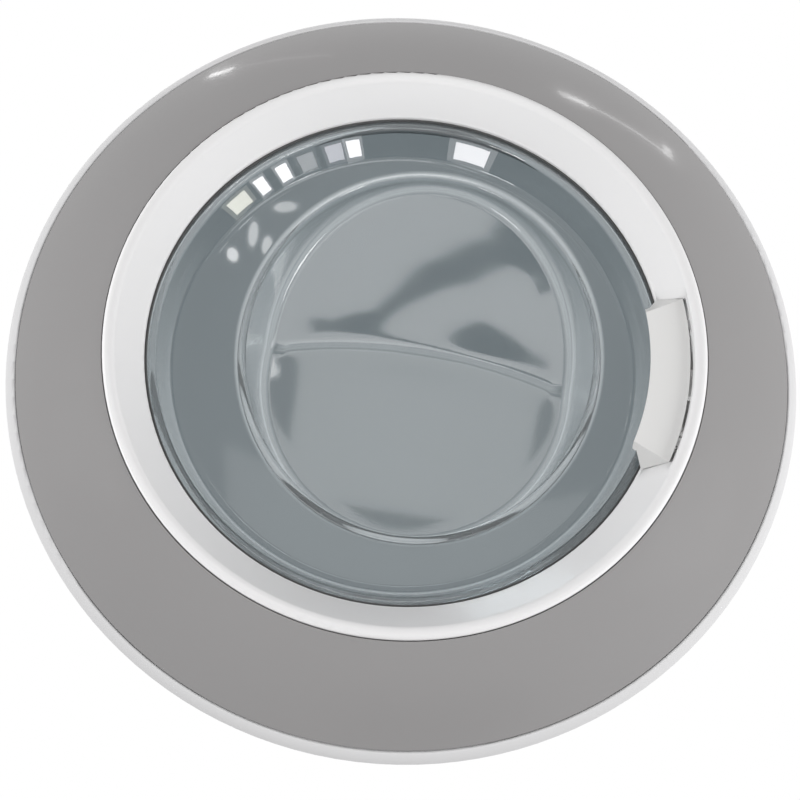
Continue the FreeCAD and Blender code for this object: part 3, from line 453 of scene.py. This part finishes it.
def screw_set(name, seats, tree, screw, material, seed):
    """Screws on the seats, given in millimetres about the door's axis, as one plain mesh."""
    mesh = bpy.data.meshes.new(name)
    mesh.from_pydata([place(*seat) for seat in seats], [], [])
    piece = bpy.data.objects.new(name, mesh)
    bpy.context.scene.collection.objects.link(piece)
    setter = piece.modifiers.new("screws", "NODES")
    setter.node_group = tree
    values = {"Screw": screw, "Screw Size": 1.0, "Turn Seed": seed, "Finish": material}
    for socket in tree.interface.items_tree:
        if socket.in_out == "INPUT" and socket.name in values:
            setter[socket.identifier] = values[socket.name]
    return applied(piece)


def seats_round(radius, degrees, depth):
    """Seats on a circle about the door's axis."""
    turns = [math.radians(angle) for angle in degrees]
    return [(radius * math.cos(turn), depth, radius * math.sin(turn)) for turn in turns]


# Shader node groups

CLOUD_DETAIL = 5.0
MARK_SCALE = 46.0
MARK_DETAIL = 7.0
MARK_SWIRL = 1.4
MARK_LOW = 0.35
MARK_HIGH = 0.7
GRAIN_DETAIL = 3.0
LINE_DETAIL = 6.0


def new_group(name, inputs, outputs):
    """Empty shader group with float inputs {name: default} and float outputs."""
    tree = bpy.data.node_groups.new(name, "ShaderNodeTree")
    for label, value in inputs.items():
        socket = tree.interface.new_socket(name=label, in_out="INPUT", socket_type="NodeSocketFloat")
        socket.default_value = value
    for label in outputs:
        tree.interface.new_socket(name=label, in_out="OUTPUT", socket_type="NodeSocketFloat")
    return tree, tree.nodes.new("NodeGroupInput"), tree.nodes.new("NodeGroupOutput")


def moulded_skin_group():
    """Faint clouding, handling marks and fine grain of moulded or painted surfaces."""
    tree, given, made = new_group(
        "moulded_skin",
        {"Cloud Scale": 9.0, "Grain Scale": 900.0, "Smooth Roughness": 0.2, "Rough Roughness": 0.3},
        ("Clouding", "Roughness", "Height"))
    links = tree.links
    where = tree.nodes.new("ShaderNodeTexCoord")
    cloud = tree.nodes.new("ShaderNodeTexNoise")
    cloud.inputs["Detail"].default_value = CLOUD_DETAIL
    links.new(where.outputs["Object"], cloud.inputs["Vector"])
    links.new(given.outputs["Cloud Scale"], cloud.inputs["Scale"])
    marks = tree.nodes.new("ShaderNodeTexNoise")
    marks.inputs["Scale"].default_value = MARK_SCALE
    marks.inputs["Detail"].default_value = MARK_DETAIL
    marks.inputs["Distortion"].default_value = MARK_SWIRL
    links.new(where.outputs["Object"], marks.inputs["Vector"])
    spread = tree.nodes.new("ShaderNodeMapRange")
    spread.inputs["From Min"].default_value = MARK_LOW
    spread.inputs["From Max"].default_value = MARK_HIGH
    links.new(marks.outputs["Fac"], spread.inputs["Value"])
    links.new(given.outputs["Smooth Roughness"], spread.inputs["To Min"])
    links.new(given.outputs["Rough Roughness"], spread.inputs["To Max"])
    grain = tree.nodes.new("ShaderNodeTexNoise")
    grain.inputs["Detail"].default_value = GRAIN_DETAIL
    links.new(where.outputs["Object"], grain.inputs["Vector"])
    links.new(given.outputs["Grain Scale"], grain.inputs["Scale"])
    links.new(cloud.outputs["Fac"], made.inputs["Clouding"])
    links.new(spread.outputs["Result"], made.inputs["Roughness"])
    links.new(grain.outputs["Fac"], made.inputs["Height"])
    return tree


def worked_metal_group():
    """Fine lines left on metal by drawing, grinding or brushing."""
    tree, given, made = new_group(
        "worked_metal",
        {"Line Scale": 60.0, "Line Stretch": 14.0, "Smooth Roughness": 0.25, "Rough Roughness": 0.45},
        ("Streak", "Roughness", "Height"))
    links = tree.links
    where = tree.nodes.new("ShaderNodeTexCoord")
    stretch = tree.nodes.new("ShaderNodeCombineXYZ")
    stretch.inputs["X"].default_value = 1.0
    links.new(given.outputs["Line Stretch"], stretch.inputs["Y"])
    links.new(given.outputs["Line Stretch"], stretch.inputs["Z"])
    scaled = tree.nodes.new("ShaderNodeVectorMath")
    scaled.operation = "MULTIPLY"
    links.new(where.outputs["Object"], scaled.inputs[0])
    links.new(stretch.outputs["Vector"], scaled.inputs[1])
    lines = tree.nodes.new("ShaderNodeTexNoise")
    lines.inputs["Detail"].default_value = LINE_DETAIL
    links.new(scaled.outputs["Vector"], lines.inputs["Vector"])
    links.new(given.outputs["Line Scale"], lines.inputs["Scale"])
    spread = tree.nodes.new("ShaderNodeMapRange")
    links.new(lines.outputs["Fac"], spread.inputs["Value"])
    links.new(given.outputs["Smooth Roughness"], spread.inputs["To Min"])
    links.new(given.outputs["Rough Roughness"], spread.inputs["To Max"])
    links.new(lines.outputs["Fac"], made.inputs["Streak"])
    links.new(spread.outputs["Result"], made.inputs["Roughness"])
    links.new(lines.outputs["Fac"], made.inputs["Height"])
    return tree


MOULDED_SKIN = moulded_skin_group()
WORKED_METAL = worked_metal_group()


# Materials

BUMP_STRENGTH = 0.25
PLASTIC_BUMP = 0.00002
METAL_BUMP = 0.00003
COAT_ROUGHNESS = 0.045
COAT_IOR = 1.5
GLASS_PALE = (0.200, 0.234, 0.250)
GLASS_DEEP = (0.172, 0.204, 0.220)
# Painted light on the glass: its pale colour, laid on faces seen at a slant between the steep start and
# end, and on the places marked in the bowl's mesh
GLASS_PAINTED_LIGHT = (0.88, 0.93, 0.95)
GLASS_SKIN = {"Cloud Scale": 7.0, "Grain Scale": 60.0, "Smooth Roughness": 0.015, "Rough Roughness": 0.06}
GLASS_STEEP_START = 0.38
GLASS_STEEP_END = 0.82
GLASS_CLEARNESS = 0.85
GLASS_IOR = 1.15


def new_material(name):
    """Empty node material with a Principled shader, as (material, nodes, links, shader)."""
    material = bpy.data.materials.new(name)
    material.use_nodes = True
    nodes = material.node_tree.nodes
    return material, nodes, material.node_tree.links, nodes["Principled BSDF"]


def surfaced(name, group, values, pale, deep, varies, bump):
    """Material whose colour runs between pale and deep with one output of a group. Bumps are in metres."""
    material, nodes, links, shader = new_material(name)
    skin = nodes.new("ShaderNodeGroup")
    skin.node_tree = group
    for label, value in values.items():
        skin.inputs[label].default_value = value
    tone = nodes.new("ShaderNodeMix")
    tone.data_type = "RGBA"
    tone.inputs["A"].default_value = (*deep, 1.0)
    tone.inputs["B"].default_value = (*pale, 1.0)
    links.new(skin.outputs[varies], tone.inputs["Factor"])
    links.new(tone.outputs["Result"], shader.inputs["Base Color"])
    links.new(skin.outputs["Roughness"], shader.inputs["Roughness"])
    relief = nodes.new("ShaderNodeBump")
    relief.inputs["Strength"].default_value = BUMP_STRENGTH
    relief.inputs["Distance"].default_value = bump
    links.new(skin.outputs["Height"], relief.inputs["Height"])
    links.new(relief.outputs["Normal"], shader.inputs["Normal"])
    return material


def moulded(name, pale, deep, roughness, grain=900.0, bump=PLASTIC_BUMP, cloud=9.0, coat=0.0):
    """Moulded plastic, rubber or paint, with a clear gloss coat if one is given."""
    material = surfaced(name, MOULDED_SKIN,
                        {"Cloud Scale": cloud, "Grain Scale": grain,
                         "Smooth Roughness": roughness[0], "Rough Roughness": roughness[1]},
                        pale, deep, "Clouding", bump)
    shader = material.node_tree.nodes["Principled BSDF"]
    shader.inputs["Coat Weight"].default_value = coat
    shader.inputs["Coat Roughness"].default_value = COAT_ROUGHNESS
    return material


def metal(name, pale, deep, roughness, scale=60.0, stretch=14.0):
    """Bare metal with the fine lines of its making."""
    material = surfaced(name, WORKED_METAL,
                        {"Line Scale": scale, "Line Stretch": stretch,
                         "Smooth Roughness": roughness[0], "Rough Roughness": roughness[1]},
                        pale, deep, "Streak", METAL_BUMP)
    material.node_tree.nodes["Principled BSDF"].inputs["Metallic"].default_value = 1.0
    return material


def smoked_glass(name):
    """Blue-grey pressed glass with slight clouding and wipe marks, with painted light making it pale on
    faces seen at a slant and at its mouth, rim, foot and crease.
    """
    material, nodes, links, shader = new_material(name)
    skin = nodes.new("ShaderNodeGroup")
    skin.node_tree = MOULDED_SKIN
    for label, value in GLASS_SKIN.items():
        skin.inputs[label].default_value = value
    tint = nodes.new("ShaderNodeMix")
    tint.data_type = "RGBA"
    tint.inputs["A"].default_value = (*GLASS_DEEP, 1.0)
    tint.inputs["B"].default_value = (*GLASS_PALE, 1.0)
    links.new(skin.outputs["Clouding"], tint.inputs["Factor"])
    # Painted highlight: faces seen at a slant turn pale
    slant = nodes.new("ShaderNodeLayerWeight")
    steep = nodes.new("ShaderNodeMapRange")
    steep.interpolation_type = "SMOOTHSTEP"
    steep.inputs["From Min"].default_value = GLASS_STEEP_START
    steep.inputs["From Max"].default_value = GLASS_STEEP_END
    links.new(slant.outputs["Facing"], steep.inputs["Value"])
    # Painted light kept in the bowl's points: the mouth, the pocket's rim and foot, and the crease turn
    # pale
    pressed = nodes.new("ShaderNodeAttribute")
    pressed.attribute_name = PAINTED_LIGHT_ATTRIBUTE
    paler = nodes.new("ShaderNodeMath")
    paler.operation = "MAXIMUM"
    links.new(steep.outputs["Result"], paler.inputs[0])
    links.new(pressed.outputs["Fac"], paler.inputs[1])
    edge = nodes.new("ShaderNodeMix")
    edge.data_type = "RGBA"
    edge.inputs["B"].default_value = (*GLASS_PAINTED_LIGHT, 1.0)
    links.new(paler.outputs["Value"], edge.inputs["Factor"])
    links.new(tint.outputs["Result"], edge.inputs["A"])
    links.new(edge.outputs["Result"], shader.inputs["Base Color"])
    links.new(skin.outputs["Roughness"], shader.inputs["Roughness"])
    shader.inputs["Transmission Weight"].default_value = GLASS_CLEARNESS
    shader.inputs["IOR"].default_value = GLASS_IOR
    shader.inputs["Coat Weight"].default_value = 1.0
    shader.inputs["Coat IOR"].default_value = COAT_IOR
    shader.inputs["Coat Roughness"].default_value = COAT_ROUGHNESS
    return material


grey_gloss = moulded(
    "trim_warm_grey_gloss", (0.315, 0.308, 0.308), (0.285, 0.279, 0.279), (0.12, 0.2),
    grain=300.0, bump=0.00001, cloud=6.0, coat=0.35)
rim_pearl = moulded("rim_pearl_white", (0.75, 0.75, 0.755), (0.72, 0.72, 0.725), (0.285, 0.33), coat=0.2)
surround_white = moulded(
    "surround_white_gloss", (0.875, 0.873, 0.875), (0.868, 0.866, 0.868), (0.28, 0.31), coat=0.15)
handle_white = moulded("handle_off_white", (0.765, 0.765, 0.755), (0.75, 0.75, 0.74), (0.28, 0.36))
seal_rubber = moulded(
    "seal_black_rubber", (0.10, 0.103, 0.103), (0.07, 0.072, 0.073), (0.5, 0.7), 400.0, 0.00005)
rear_grey = moulded(
    "rear_light_grey_moulding", (0.62, 0.62, 0.615), (0.55, 0.55, 0.55), (0.42, 0.58), 700.0, 0.00006)
bush_nylon = moulded("bush_natural_nylon", (0.76, 0.74, 0.67), (0.70, 0.68, 0.61), (0.4, 0.55))
hinge_paint = moulded(
    "hinge_light_grey_paint", (0.66, 0.66, 0.66), (0.58, 0.58, 0.58), (0.3, 0.45), 500.0, 0.00008)
screw_zinc = metal("screw_zinc_plate", (0.66, 0.66, 0.64), (0.50, 0.50, 0.49), (0.28, 0.42), 90.0, 4.0)
pin_ground = metal("pin_ground_steel", (0.62, 0.62, 0.63), (0.50, 0.50, 0.51), (0.16, 0.26))
spring_wire = metal("spring_drawn_wire", (0.40, 0.40, 0.42), (0.26, 0.26, 0.28), (0.28, 0.42), 300.0, 3.0)
hook_casting = metal(
    "hook_zinc_casting", (0.55, 0.55, 0.555), (0.43, 0.43, 0.435), (0.38, 0.56), 240.0, 1.5)
plate_sheet = metal("latch_plate_sheet_steel", (0.66, 0.66, 0.67), (0.52, 0.52, 0.53), (0.28, 0.4))
bowl_glass = smoked_glass("bowl_blue_grey_glass")


# Dressing the frame

HANDLE_ROUND = 0.0006
HINGE_ROUND = 0.0005
HOOK_ROUND = 0.0004
PLATE_ROUND = 0.0003


def dress(piece, material, body, slot, *nodes):
    """Gives a new piece its material and body, and hides the CAD nodes that it stands for. The slot is not
    used.
    """
    piece.data.materials.clear()
    piece.data.materials.append(material)
    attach(piece, body)
    if nodes:
        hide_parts(*nodes)


def finish_node(node, material):
    """Puts a material on a piece of the frame that is shown as it is."""
    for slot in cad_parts[node].material_slots:
        slot.material = material


ring_piece = evened(make_trim_ring())
glass_piece = evened(make_glass_bowl())
surround_piece = evened(joined_copy("window_surround", "white_surround"))
dress(ring_piece, grey_gloss, "door", "grey_trim", "trim_ring")
dress(make_seal(), seal_rubber, "door", "seal_rubber", "glass_seal")
dress(glass_piece, bowl_glass, "door", "bowl_glass", "glass_bowl")
rim_piece = evened(joined_copy("front_frame", "outer_rim_moulding"))
dress(rim_piece, rim_pearl, "door", "rim_plastic", "front_frame")
dress(surround_piece, surround_white, "door", "white_plastic", "window_surround")
handle_piece = bevelled_copy("handle_lever", "pull_handle", HANDLE_ROUND)
dress(handle_piece, handle_white, "handle", "handle_plastic", "handle_lever")
rear_piece = evened(joined_copy("rear_frame", "rear_moulding"))
dress(rear_piece, rear_grey, "door", "rear_plastic", "rear_frame")
hook_piece = bevelled_copy("latch_hook", "cast_latch_hook", HOOK_ROUND)
dress(hook_piece, hook_casting, "latch", "hook_metal", "latch_hook")
plate_piece = bevelled_copy("latch_plate", "pressed_latch_plate", PLATE_ROUND)
dress(plate_piece, plate_sheet, "door", "plate_steel", "latch_plate")
cabinet_leaf = bevelled_copy("hinge_cabinet_leaf", "cabinet_leaf", HINGE_ROUND)
dress(cabinet_leaf, hinge_paint, "hinge_mount", "hinge_metal", "hinge_cabinet_leaf")
door_leaf = bevelled_copy("hinge_door_leaf", "door_leaf", HINGE_ROUND)
dress(door_leaf, hinge_paint, "door", "hinge_metal", "hinge_door_leaf")

screw_blank = make_screw()
screws_on_seats = screw_tree()
screw_rows = {
    "frame_screws": seats_round(FRAME_SCREW_R, FRAME_SCREW_ANGLES, REAR_PLATE_BACK_Y),
    "surround_screws": seats_round(SURROUND_SCREW_R, SURROUND_SCREW_ANGLES, REAR_PLATE_BACK_Y),
    "latch_screws": [(LATCH_SCREW_X, LATCH_PLATE_BACK_Y, side * LATCH_SCREW_Z) for side in (1, -1)],
    "hinge_screws": [(LEAF_SCREW_X, LEAF_BACK_Y, side * LEAF_SCREW_Z) for side in (1, -1)]}
for seed, (node, seats) in enumerate(screw_rows.items()):
    name = node.replace("screws", "screw_set")
    screws = screw_set(name, seats, screws_on_seats, screw_blank, screw_zinc, seed)
    dress(screws, screw_zinc, "door", "screw_steel", node)
bpy.data.objects.remove(screw_blank)

for node, material in {
        "handle_pin": pin_ground, "latch_pin": pin_ground, "hinge_pin": pin_ground,
        "handle_spring": spring_wire, "latch_spring": spring_wire,
        "hinge_bush_upper": bush_nylon, "hinge_bush_lower": bush_nylon}.items():
    finish_node(node, material)


# Studio: floor, world, lamps and camera

# Panel mirrored in the pocket's floor, and the black cards before it, by points across the panel
LOW_PANEL = (236.0, -640.0, -273.0)
LOW_PANEL_SIDE = (0.94, 0.0, 0.342)
FLAG_GAP = 6.0
FLAG_BAND = (
    (-212, -68), (-225, -71), (-246, -58), (-250, -31), (-249, 5), (-251, 22), (-249, 58), (-246, 80),
    (-250, 130), (-322, 130), (-318, 45), (-297, 22), (-285, 36), (-268, 38), (-272, 3), (-266, -22),
    (-259, -49), (-248, -92), (-216, -92))
FLAG_SPOT = ((-299, -36), (-340, -36), (-352, -30), (-360, -100), (-297, -100), (-294, -60))
FLAG_BLACK = (0.01, 0.01, 0.01)

# Panes of light mirrored in the bowl's wall, each with its name, degrees round the bowl, size, watts
# and colour. They hang a gap away from the wall and are seen at one share of its depth
PANE_GAP = 9.0
PANE_SHARE = 0.51
PANE_STEP = 1.0
PANE_WHITE = (1.0, 0.98, 1.0)
PANE_LAVENDER = (0.95, 0.93, 1.0)
PANE_CREAM = (1.0, 0.98, 0.86)
PANE_EDGE_SIZE = 1.4
PANE_EDGE_POWER = 0.3
WALL_PANES = (
    ("pane_white_one", 111.5, (7.8, 10.9), 0.0040, PANE_WHITE),
    ("pane_lavender", 116.5, (9.7, 10.8), 0.0021, PANE_LAVENDER),
    ("pane_faint", 123.9, (9.5, 10.7), 0.0010, PANE_WHITE),
    ("pane_white_two", 130.5, (7.0, 10.6), 0.0033, PANE_WHITE),
    ("pane_white_three", 137.0, (6.4, 10.4), 0.0029, PANE_WHITE),
    ("pane_cream", 144.2, (13.0, 9.0), 0.0029, PANE_CREAM),
    ("pane_wide", 81.4, (20.0, 11.0), 0.0085, PANE_WHITE))

# Small lamps mirrored in the bowl's shoulder and in the trim ring, each with its name, place,
# long side's direction, size and watts
LEDGE_GLINTS = (
    ("ledge_glint_one", (-101.7, -127, 152), (1, 0, -0.08), (18, 8), 0.0022),
    ("ledge_glint_two", (-120, -124, 126.7), (0.5, 0, -0.86), (19, 8), 0.0027),
    ("ledge_glint_three", (-131.5, -126, 109.8), (0.8, 0, -0.6), (12, 8), 0.0025),
    ("ledge_glint_four", (-108, -124, 120), (0.5, 0, -0.86), (14, 8), 0.0020))
STREAK_ALONG = (368, 144, -130)
SPOT_ALONG = (339, -243, 120)
RING_REFLECTIONS = (
    ("ring_streak", (557, -190, 1250), STREAK_ALONG, (400, 20), 0.10),
    ("ring_streak_start", (400, -250, 1306), STREAK_ALONG, (110, 60), 0.09),
    ("ring_streak_end", (730, -90, 1185), STREAK_ALONG, (40, 90), 0.05),
    ("ring_spot", (-734, 55, 1206), SPOT_ALONG, (90, 40), 0.08),
    ("ring_faint_line", (-565, -66, 1266), SPOT_ALONG, (420, 10), 0.02))

# Floor, room light, sun and camera
FLOOR_Z = -0.62
FLOOR_HALF = 60.0
FLOOR_PALE = (0.86, 0.86, 0.86)
FLOOR_ROUGHNESS = 0.9
FLOOR_GLOW = (0.47, 0.47, 0.47)
ROOM_SOFT = (0.98, 0.97, 0.975)
ROOM_STRENGTH = 0.47
SUN_FROM = (-0.3, 0.45, 0.84)
SUN_STRENGTH = 0.7
SUN_ANGLE = math.radians(14)
CAMERA_DISTANCE = 0.800
CAMERA_BELOW = math.radians(20.12)
CAMERA_SIDE = math.radians(-2.21)
DOOR_ROLL = math.radians(8.5)
CAMERA_LENS = 60.19
CAMERA_SENSOR = 36.0
CAMERA_NEAR = 0.01
CAMERA_SHIFT = (-0.00625, -0.0568)


def make_floor():
    """Wide pale floor under the door, nearly white to the eye, with the door's soft shadow on it."""
    mesh = bpy.data.meshes.new("floor")
    corners = [(x * FLOOR_HALF, y * FLOOR_HALF, FLOOR_Z) for x, y in SQUARE_CORNERS]
    mesh.from_pydata(corners, [], [(0, 1, 2, 3)])
    floor = bpy.data.objects.new("floor", mesh)
    bpy.context.scene.collection.objects.link(floor)
    material, nodes, links, shader = new_material("floor_pale")
    shader.inputs["Base Color"].default_value = (*FLOOR_PALE, 1.0)
    shader.inputs["Roughness"].default_value = FLOOR_ROUGHNESS
    glow = nodes.new("ShaderNodeEmission")
    links.new(seen_rays(nodes, links), glow.inputs["Strength"])
    glow.inputs["Color"].default_value = (*FLOOR_GLOW, 1.0)
    both = nodes.new("ShaderNodeAddShader")
    links.new(shader.outputs["BSDF"], both.inputs[0])
    links.new(glow.outputs["Emission"], both.inputs[1])
    links.new(both.outputs["Shader"], nodes["Material Output"].inputs["Surface"])
    mesh.materials.append(material)


def seen_rays(nodes, links):
    """Socket that is 1 for rays of the camera, of reflections and of glass, else 0."""
    path = nodes.new("ShaderNodeLightPath")
    seen = path.outputs["Is Camera Ray"]
    for label in ("Is Glossy Ray", "Is Transmission Ray"):
        more = nodes.new("ShaderNodeMath")
        more.operation = "MAXIMUM"
        links.new(seen, more.inputs[0])
        links.new(path.outputs[label], more.inputs[1])
        seen = more.outputs["Value"]
    return seen


def make_world():
    """White for the camera, reflections and glass, softer for the light on the object."""
    world = bpy.data.worlds.new("studio")
    bpy.context.scene.world = world
    world.use_nodes = True
    nodes, links = world.node_tree.nodes, world.node_tree.links
    soft = nodes["Background"]
    soft.inputs["Color"].default_value = (*ROOM_SOFT, 1.0)
    soft.inputs["Strength"].default_value = ROOM_STRENGTH
    white = nodes.new("ShaderNodeBackground")
    white.inputs["Color"].default_value = (1.0, 1.0, 1.0, 1.0)
    mix = nodes.new("ShaderNodeMixShader")
    links.new(seen_rays(nodes, links), mix.inputs["Fac"])
    links.new(soft.outputs["Background"], mix.inputs[1])
    links.new(white.outputs["Background"], mix.inputs[2])
    links.new(mix.outputs["Shader"], nodes["World Output"].inputs["Surface"])


def make_lamp(name, place_mm, size_mm, watts, colour=(1.0, 1.0, 1.0), along=(1, 0, 0), aim=(0, 0, 0),
              shape="RECTANGLE", lights=None, mirrored_in=None):
    """Flat lamp aimed at a point, the door's middle if none is given, its long side along a direction.

    It lights the whole door or the pieces given, or it only shows as a reflection in one piece.
    """
    lamp = bpy.data.lights.new(name, "AREA")
    lamp.shape = shape
    lamp.size = size_mm[0] * MM
    lamp.size_y = size_mm[1] * MM
    lamp.energy = watts
    lamp.color = colour
    holder = bpy.data.objects.new(name, lamp)
    spot = place(*place_mm)
    back = (spot - place(*aim)).normalized()
    side = Vector(along)
    side = (side - back * side.dot(back)).normalized()
    turn = Matrix((side, back.cross(side), back)).transposed()
    holder.matrix_world = Matrix.Translation(spot) @ turn.to_4x4()
    holder.visible_camera = False
    holder.visible_transmission = False
    holder.visible_glossy = mirrored_in is not None
    holder.visible_diffuse = mirrored_in is None
    receivers = bpy.data.collections.new(name + "_receivers")
    reached = [mirrored_in] if mirrored_in else lights or lit_pieces
    for piece in reached:
        receivers.objects.link(piece)
    holder.light_linking.receiver_collection = receivers
    bpy.context.scene.collection.objects.link(holder)


def soft_reflection(name, spot, size, watts, **setting):
    """Lamp mirrored in the glass, with a larger faint one about it that softens its edge."""
    make_lamp(name, spot, size, watts, mirrored_in=glass_piece, **setting)
    wide = [side * PANE_EDGE_SIZE for side in size]
    make_lamp(name + "_edge", spot, wide, watts * PANE_EDGE_POWER, mirrored_in=glass_piece, **setting)


def mirrored_spot(degrees):
    """Point on the bowl's wall at that angle, and the point off it that the camera sees mirrored there."""
    turn = math.radians(degrees)
    outward = Vector((math.cos(turn), 0, math.sin(turn)))
    around = Vector((-math.sin(turn), 0, math.cos(turn)))
    mouth = outward * MOUTH_R + Vector((0, FLANGE_FRONT_Y, 0))
    shoulder = outward * SHOULDER_R + Vector((0, SHOULDER_Y, 0))
    on_wall = mouth.lerp(shoulder, PANE_SHARE)
    facing = around.cross(shoulder - mouth).normalized()
    eye = (photo_camera.location - DOOR_CENTRE) / MM
    sight = (on_wall - eye).normalized()
    return on_wall, on_wall + sight.reflect(facing) * PANE_GAP


def make_wall_pane(name, degrees, size, watts, colour):
    """Pane of light that the camera sees mirrored in the bowl's wall, its width round the wall."""
    on_wall, spot = mirrored_spot(degrees)
    across = mirrored_spot(degrees - PANE_STEP)[1] - mirrored_spot(degrees + PANE_STEP)[1]
    soft_reflection(name, spot, size, watts, colour=colour, along=across, aim=on_wall)


def make_sun():
    """Soft high light from behind that lays the door's shadow on the floor."""
    lamp = bpy.data.lights.new("high_sun", "SUN")
    lamp.energy = SUN_STRENGTH
    lamp.angle = SUN_ANGLE
    holder = bpy.data.objects.new("high_sun", lamp)
    holder.rotation_euler = Vector(SUN_FROM).to_track_quat("Z", "Y").to_euler()
    holder.visible_glossy = False
    blockers = bpy.data.collections.new("sun_blockers")
    for piece in lit_pieces:
        blockers.objects.link(piece)
    holder.light_linking.blocker_collection = blockers
    bpy.context.scene.collection.objects.link(holder)


def make_flag(name, outline):
    """Black card just before the low panel, given by points across that panel in millimetres."""
    back = Vector(LOW_PANEL).normalized()
    side = Vector(LOW_PANEL_SIDE)
    side = (side - back * side.dot(back)).normalized()
    near = Vector(LOW_PANEL) - back * FLAG_GAP
    corners = [place(*(near + side * u + back.cross(side) * v)) for u, v in outline]
    mesh = bpy.data.meshes.new(name)
    mesh.from_pydata(corners, [], [tuple(range(len(corners)))])
    card = bpy.data.objects.new(name, mesh)
    bpy.context.scene.collection.objects.link(card)
    material, _, _, shader = new_material(name)
    shader.inputs["Base Color"].default_value = (*FLAG_BLACK, 1.0)
    shader.inputs["Roughness"].default_value = 1.0
    mesh.materials.append(material)
    card.visible_camera = False
    card.visible_diffuse = False
    card.visible_transmission = False


def make_camera():
    """Camera below the door's axis, turned with the door's slight roll in the photograph's view."""
    level = math.cos(CAMERA_BELOW)
    back = Vector((math.sin(CAMERA_SIDE) * level, -math.cos(CAMERA_SIDE) * level, -math.sin(CAMERA_BELOW)))
    aim = (-back).to_track_quat("-Z", "Y").to_matrix()
    roll = Matrix.Rotation(-DOOR_ROLL, 3, "Y")
    camera = bpy.data.cameras.new("photo_view")
    camera.lens = CAMERA_LENS
    camera.sensor_width = CAMERA_SENSOR
    camera.shift_x, camera.shift_y = CAMERA_SHIFT
    camera.clip_start = CAMERA_NEAR
    holder = bpy.data.objects.new("photo_view", camera)
    holder.matrix_world = (roll @ aim).to_4x4()
    holder.location = DOOR_CENTRE + roll @ back * CAMERA_DISTANCE
    bpy.context.scene.collection.objects.link(holder)
    bpy.context.scene.camera = holder
    return holder


photo_camera = make_camera()
lit_pieces = [piece for piece in bpy.context.scene.objects if piece.type == "MESH"]
outer_pieces = [piece for piece in lit_pieces if piece != surround_piece]
make_floor()
make_world()
make_lamp("key_front", (150, -1300, -200), (800, 500), 0.9, (1.0, 0.99, 0.98), lights=outer_pieces)
make_lamp("side_left", (-1050, -650, -120), (500, 500), 5.3, lights=outer_pieces)
make_lamp("side_right", (1050, -650, -120), (500, 500), 6.6, lights=outer_pieces)
make_lamp("surround_low", (0, -800, -560), (600, 200), 2.2, lights=[surround_piece])
make_lamp("handle_gap", (156, -17, 0), (90, 3), 0.006, along=(0, 0, 1), aim=(200, -17, 0))
make_lamp("surround_left", (-1150, -330, -100), (500, 400), 7.0, lights=[surround_piece])
make_lamp("surround_right", (1150, -330, -100), (500, 400), 7.2, lights=[surround_piece])
make_sun()
make_lamp("panel_high", (5, -5978, 3239), (1390, 795), 9.7, mirrored_in=glass_piece)
make_lamp("panel_ledge", (0, -6580, 1714), (1400, 500), 2.4, mirrored_in=glass_piece)
make_lamp("panel_low", LOW_PANEL, (840, 340), 2.95, along=LOW_PANEL_SIDE, mirrored_in=glass_piece)
make_flag("flag_band", FLAG_BAND)
make_flag("flag_spot", FLAG_SPOT)
make_lamp("panel_rim_right", (560, -330, -480), (160, 160), 1.0, mirrored_in=glass_piece)
make_lamp("panel_rim_left", (-260, -130, -560), (140, 120), 0.8, mirrored_in=glass_piece)
for pane in WALL_PANES:
    make_wall_pane(*pane)
for name, spot, along, size, watts in LEDGE_GLINTS:
    soft_reflection(name, spot, size, watts, along=along, shape="ELLIPSE")
for name, spot, along, size, watts in RING_REFLECTIONS:
    make_lamp(name, spot, size, watts, along=along, mirrored_in=ring_piece)
bpy.context.scene.view_settings.view_transform = "Standard"
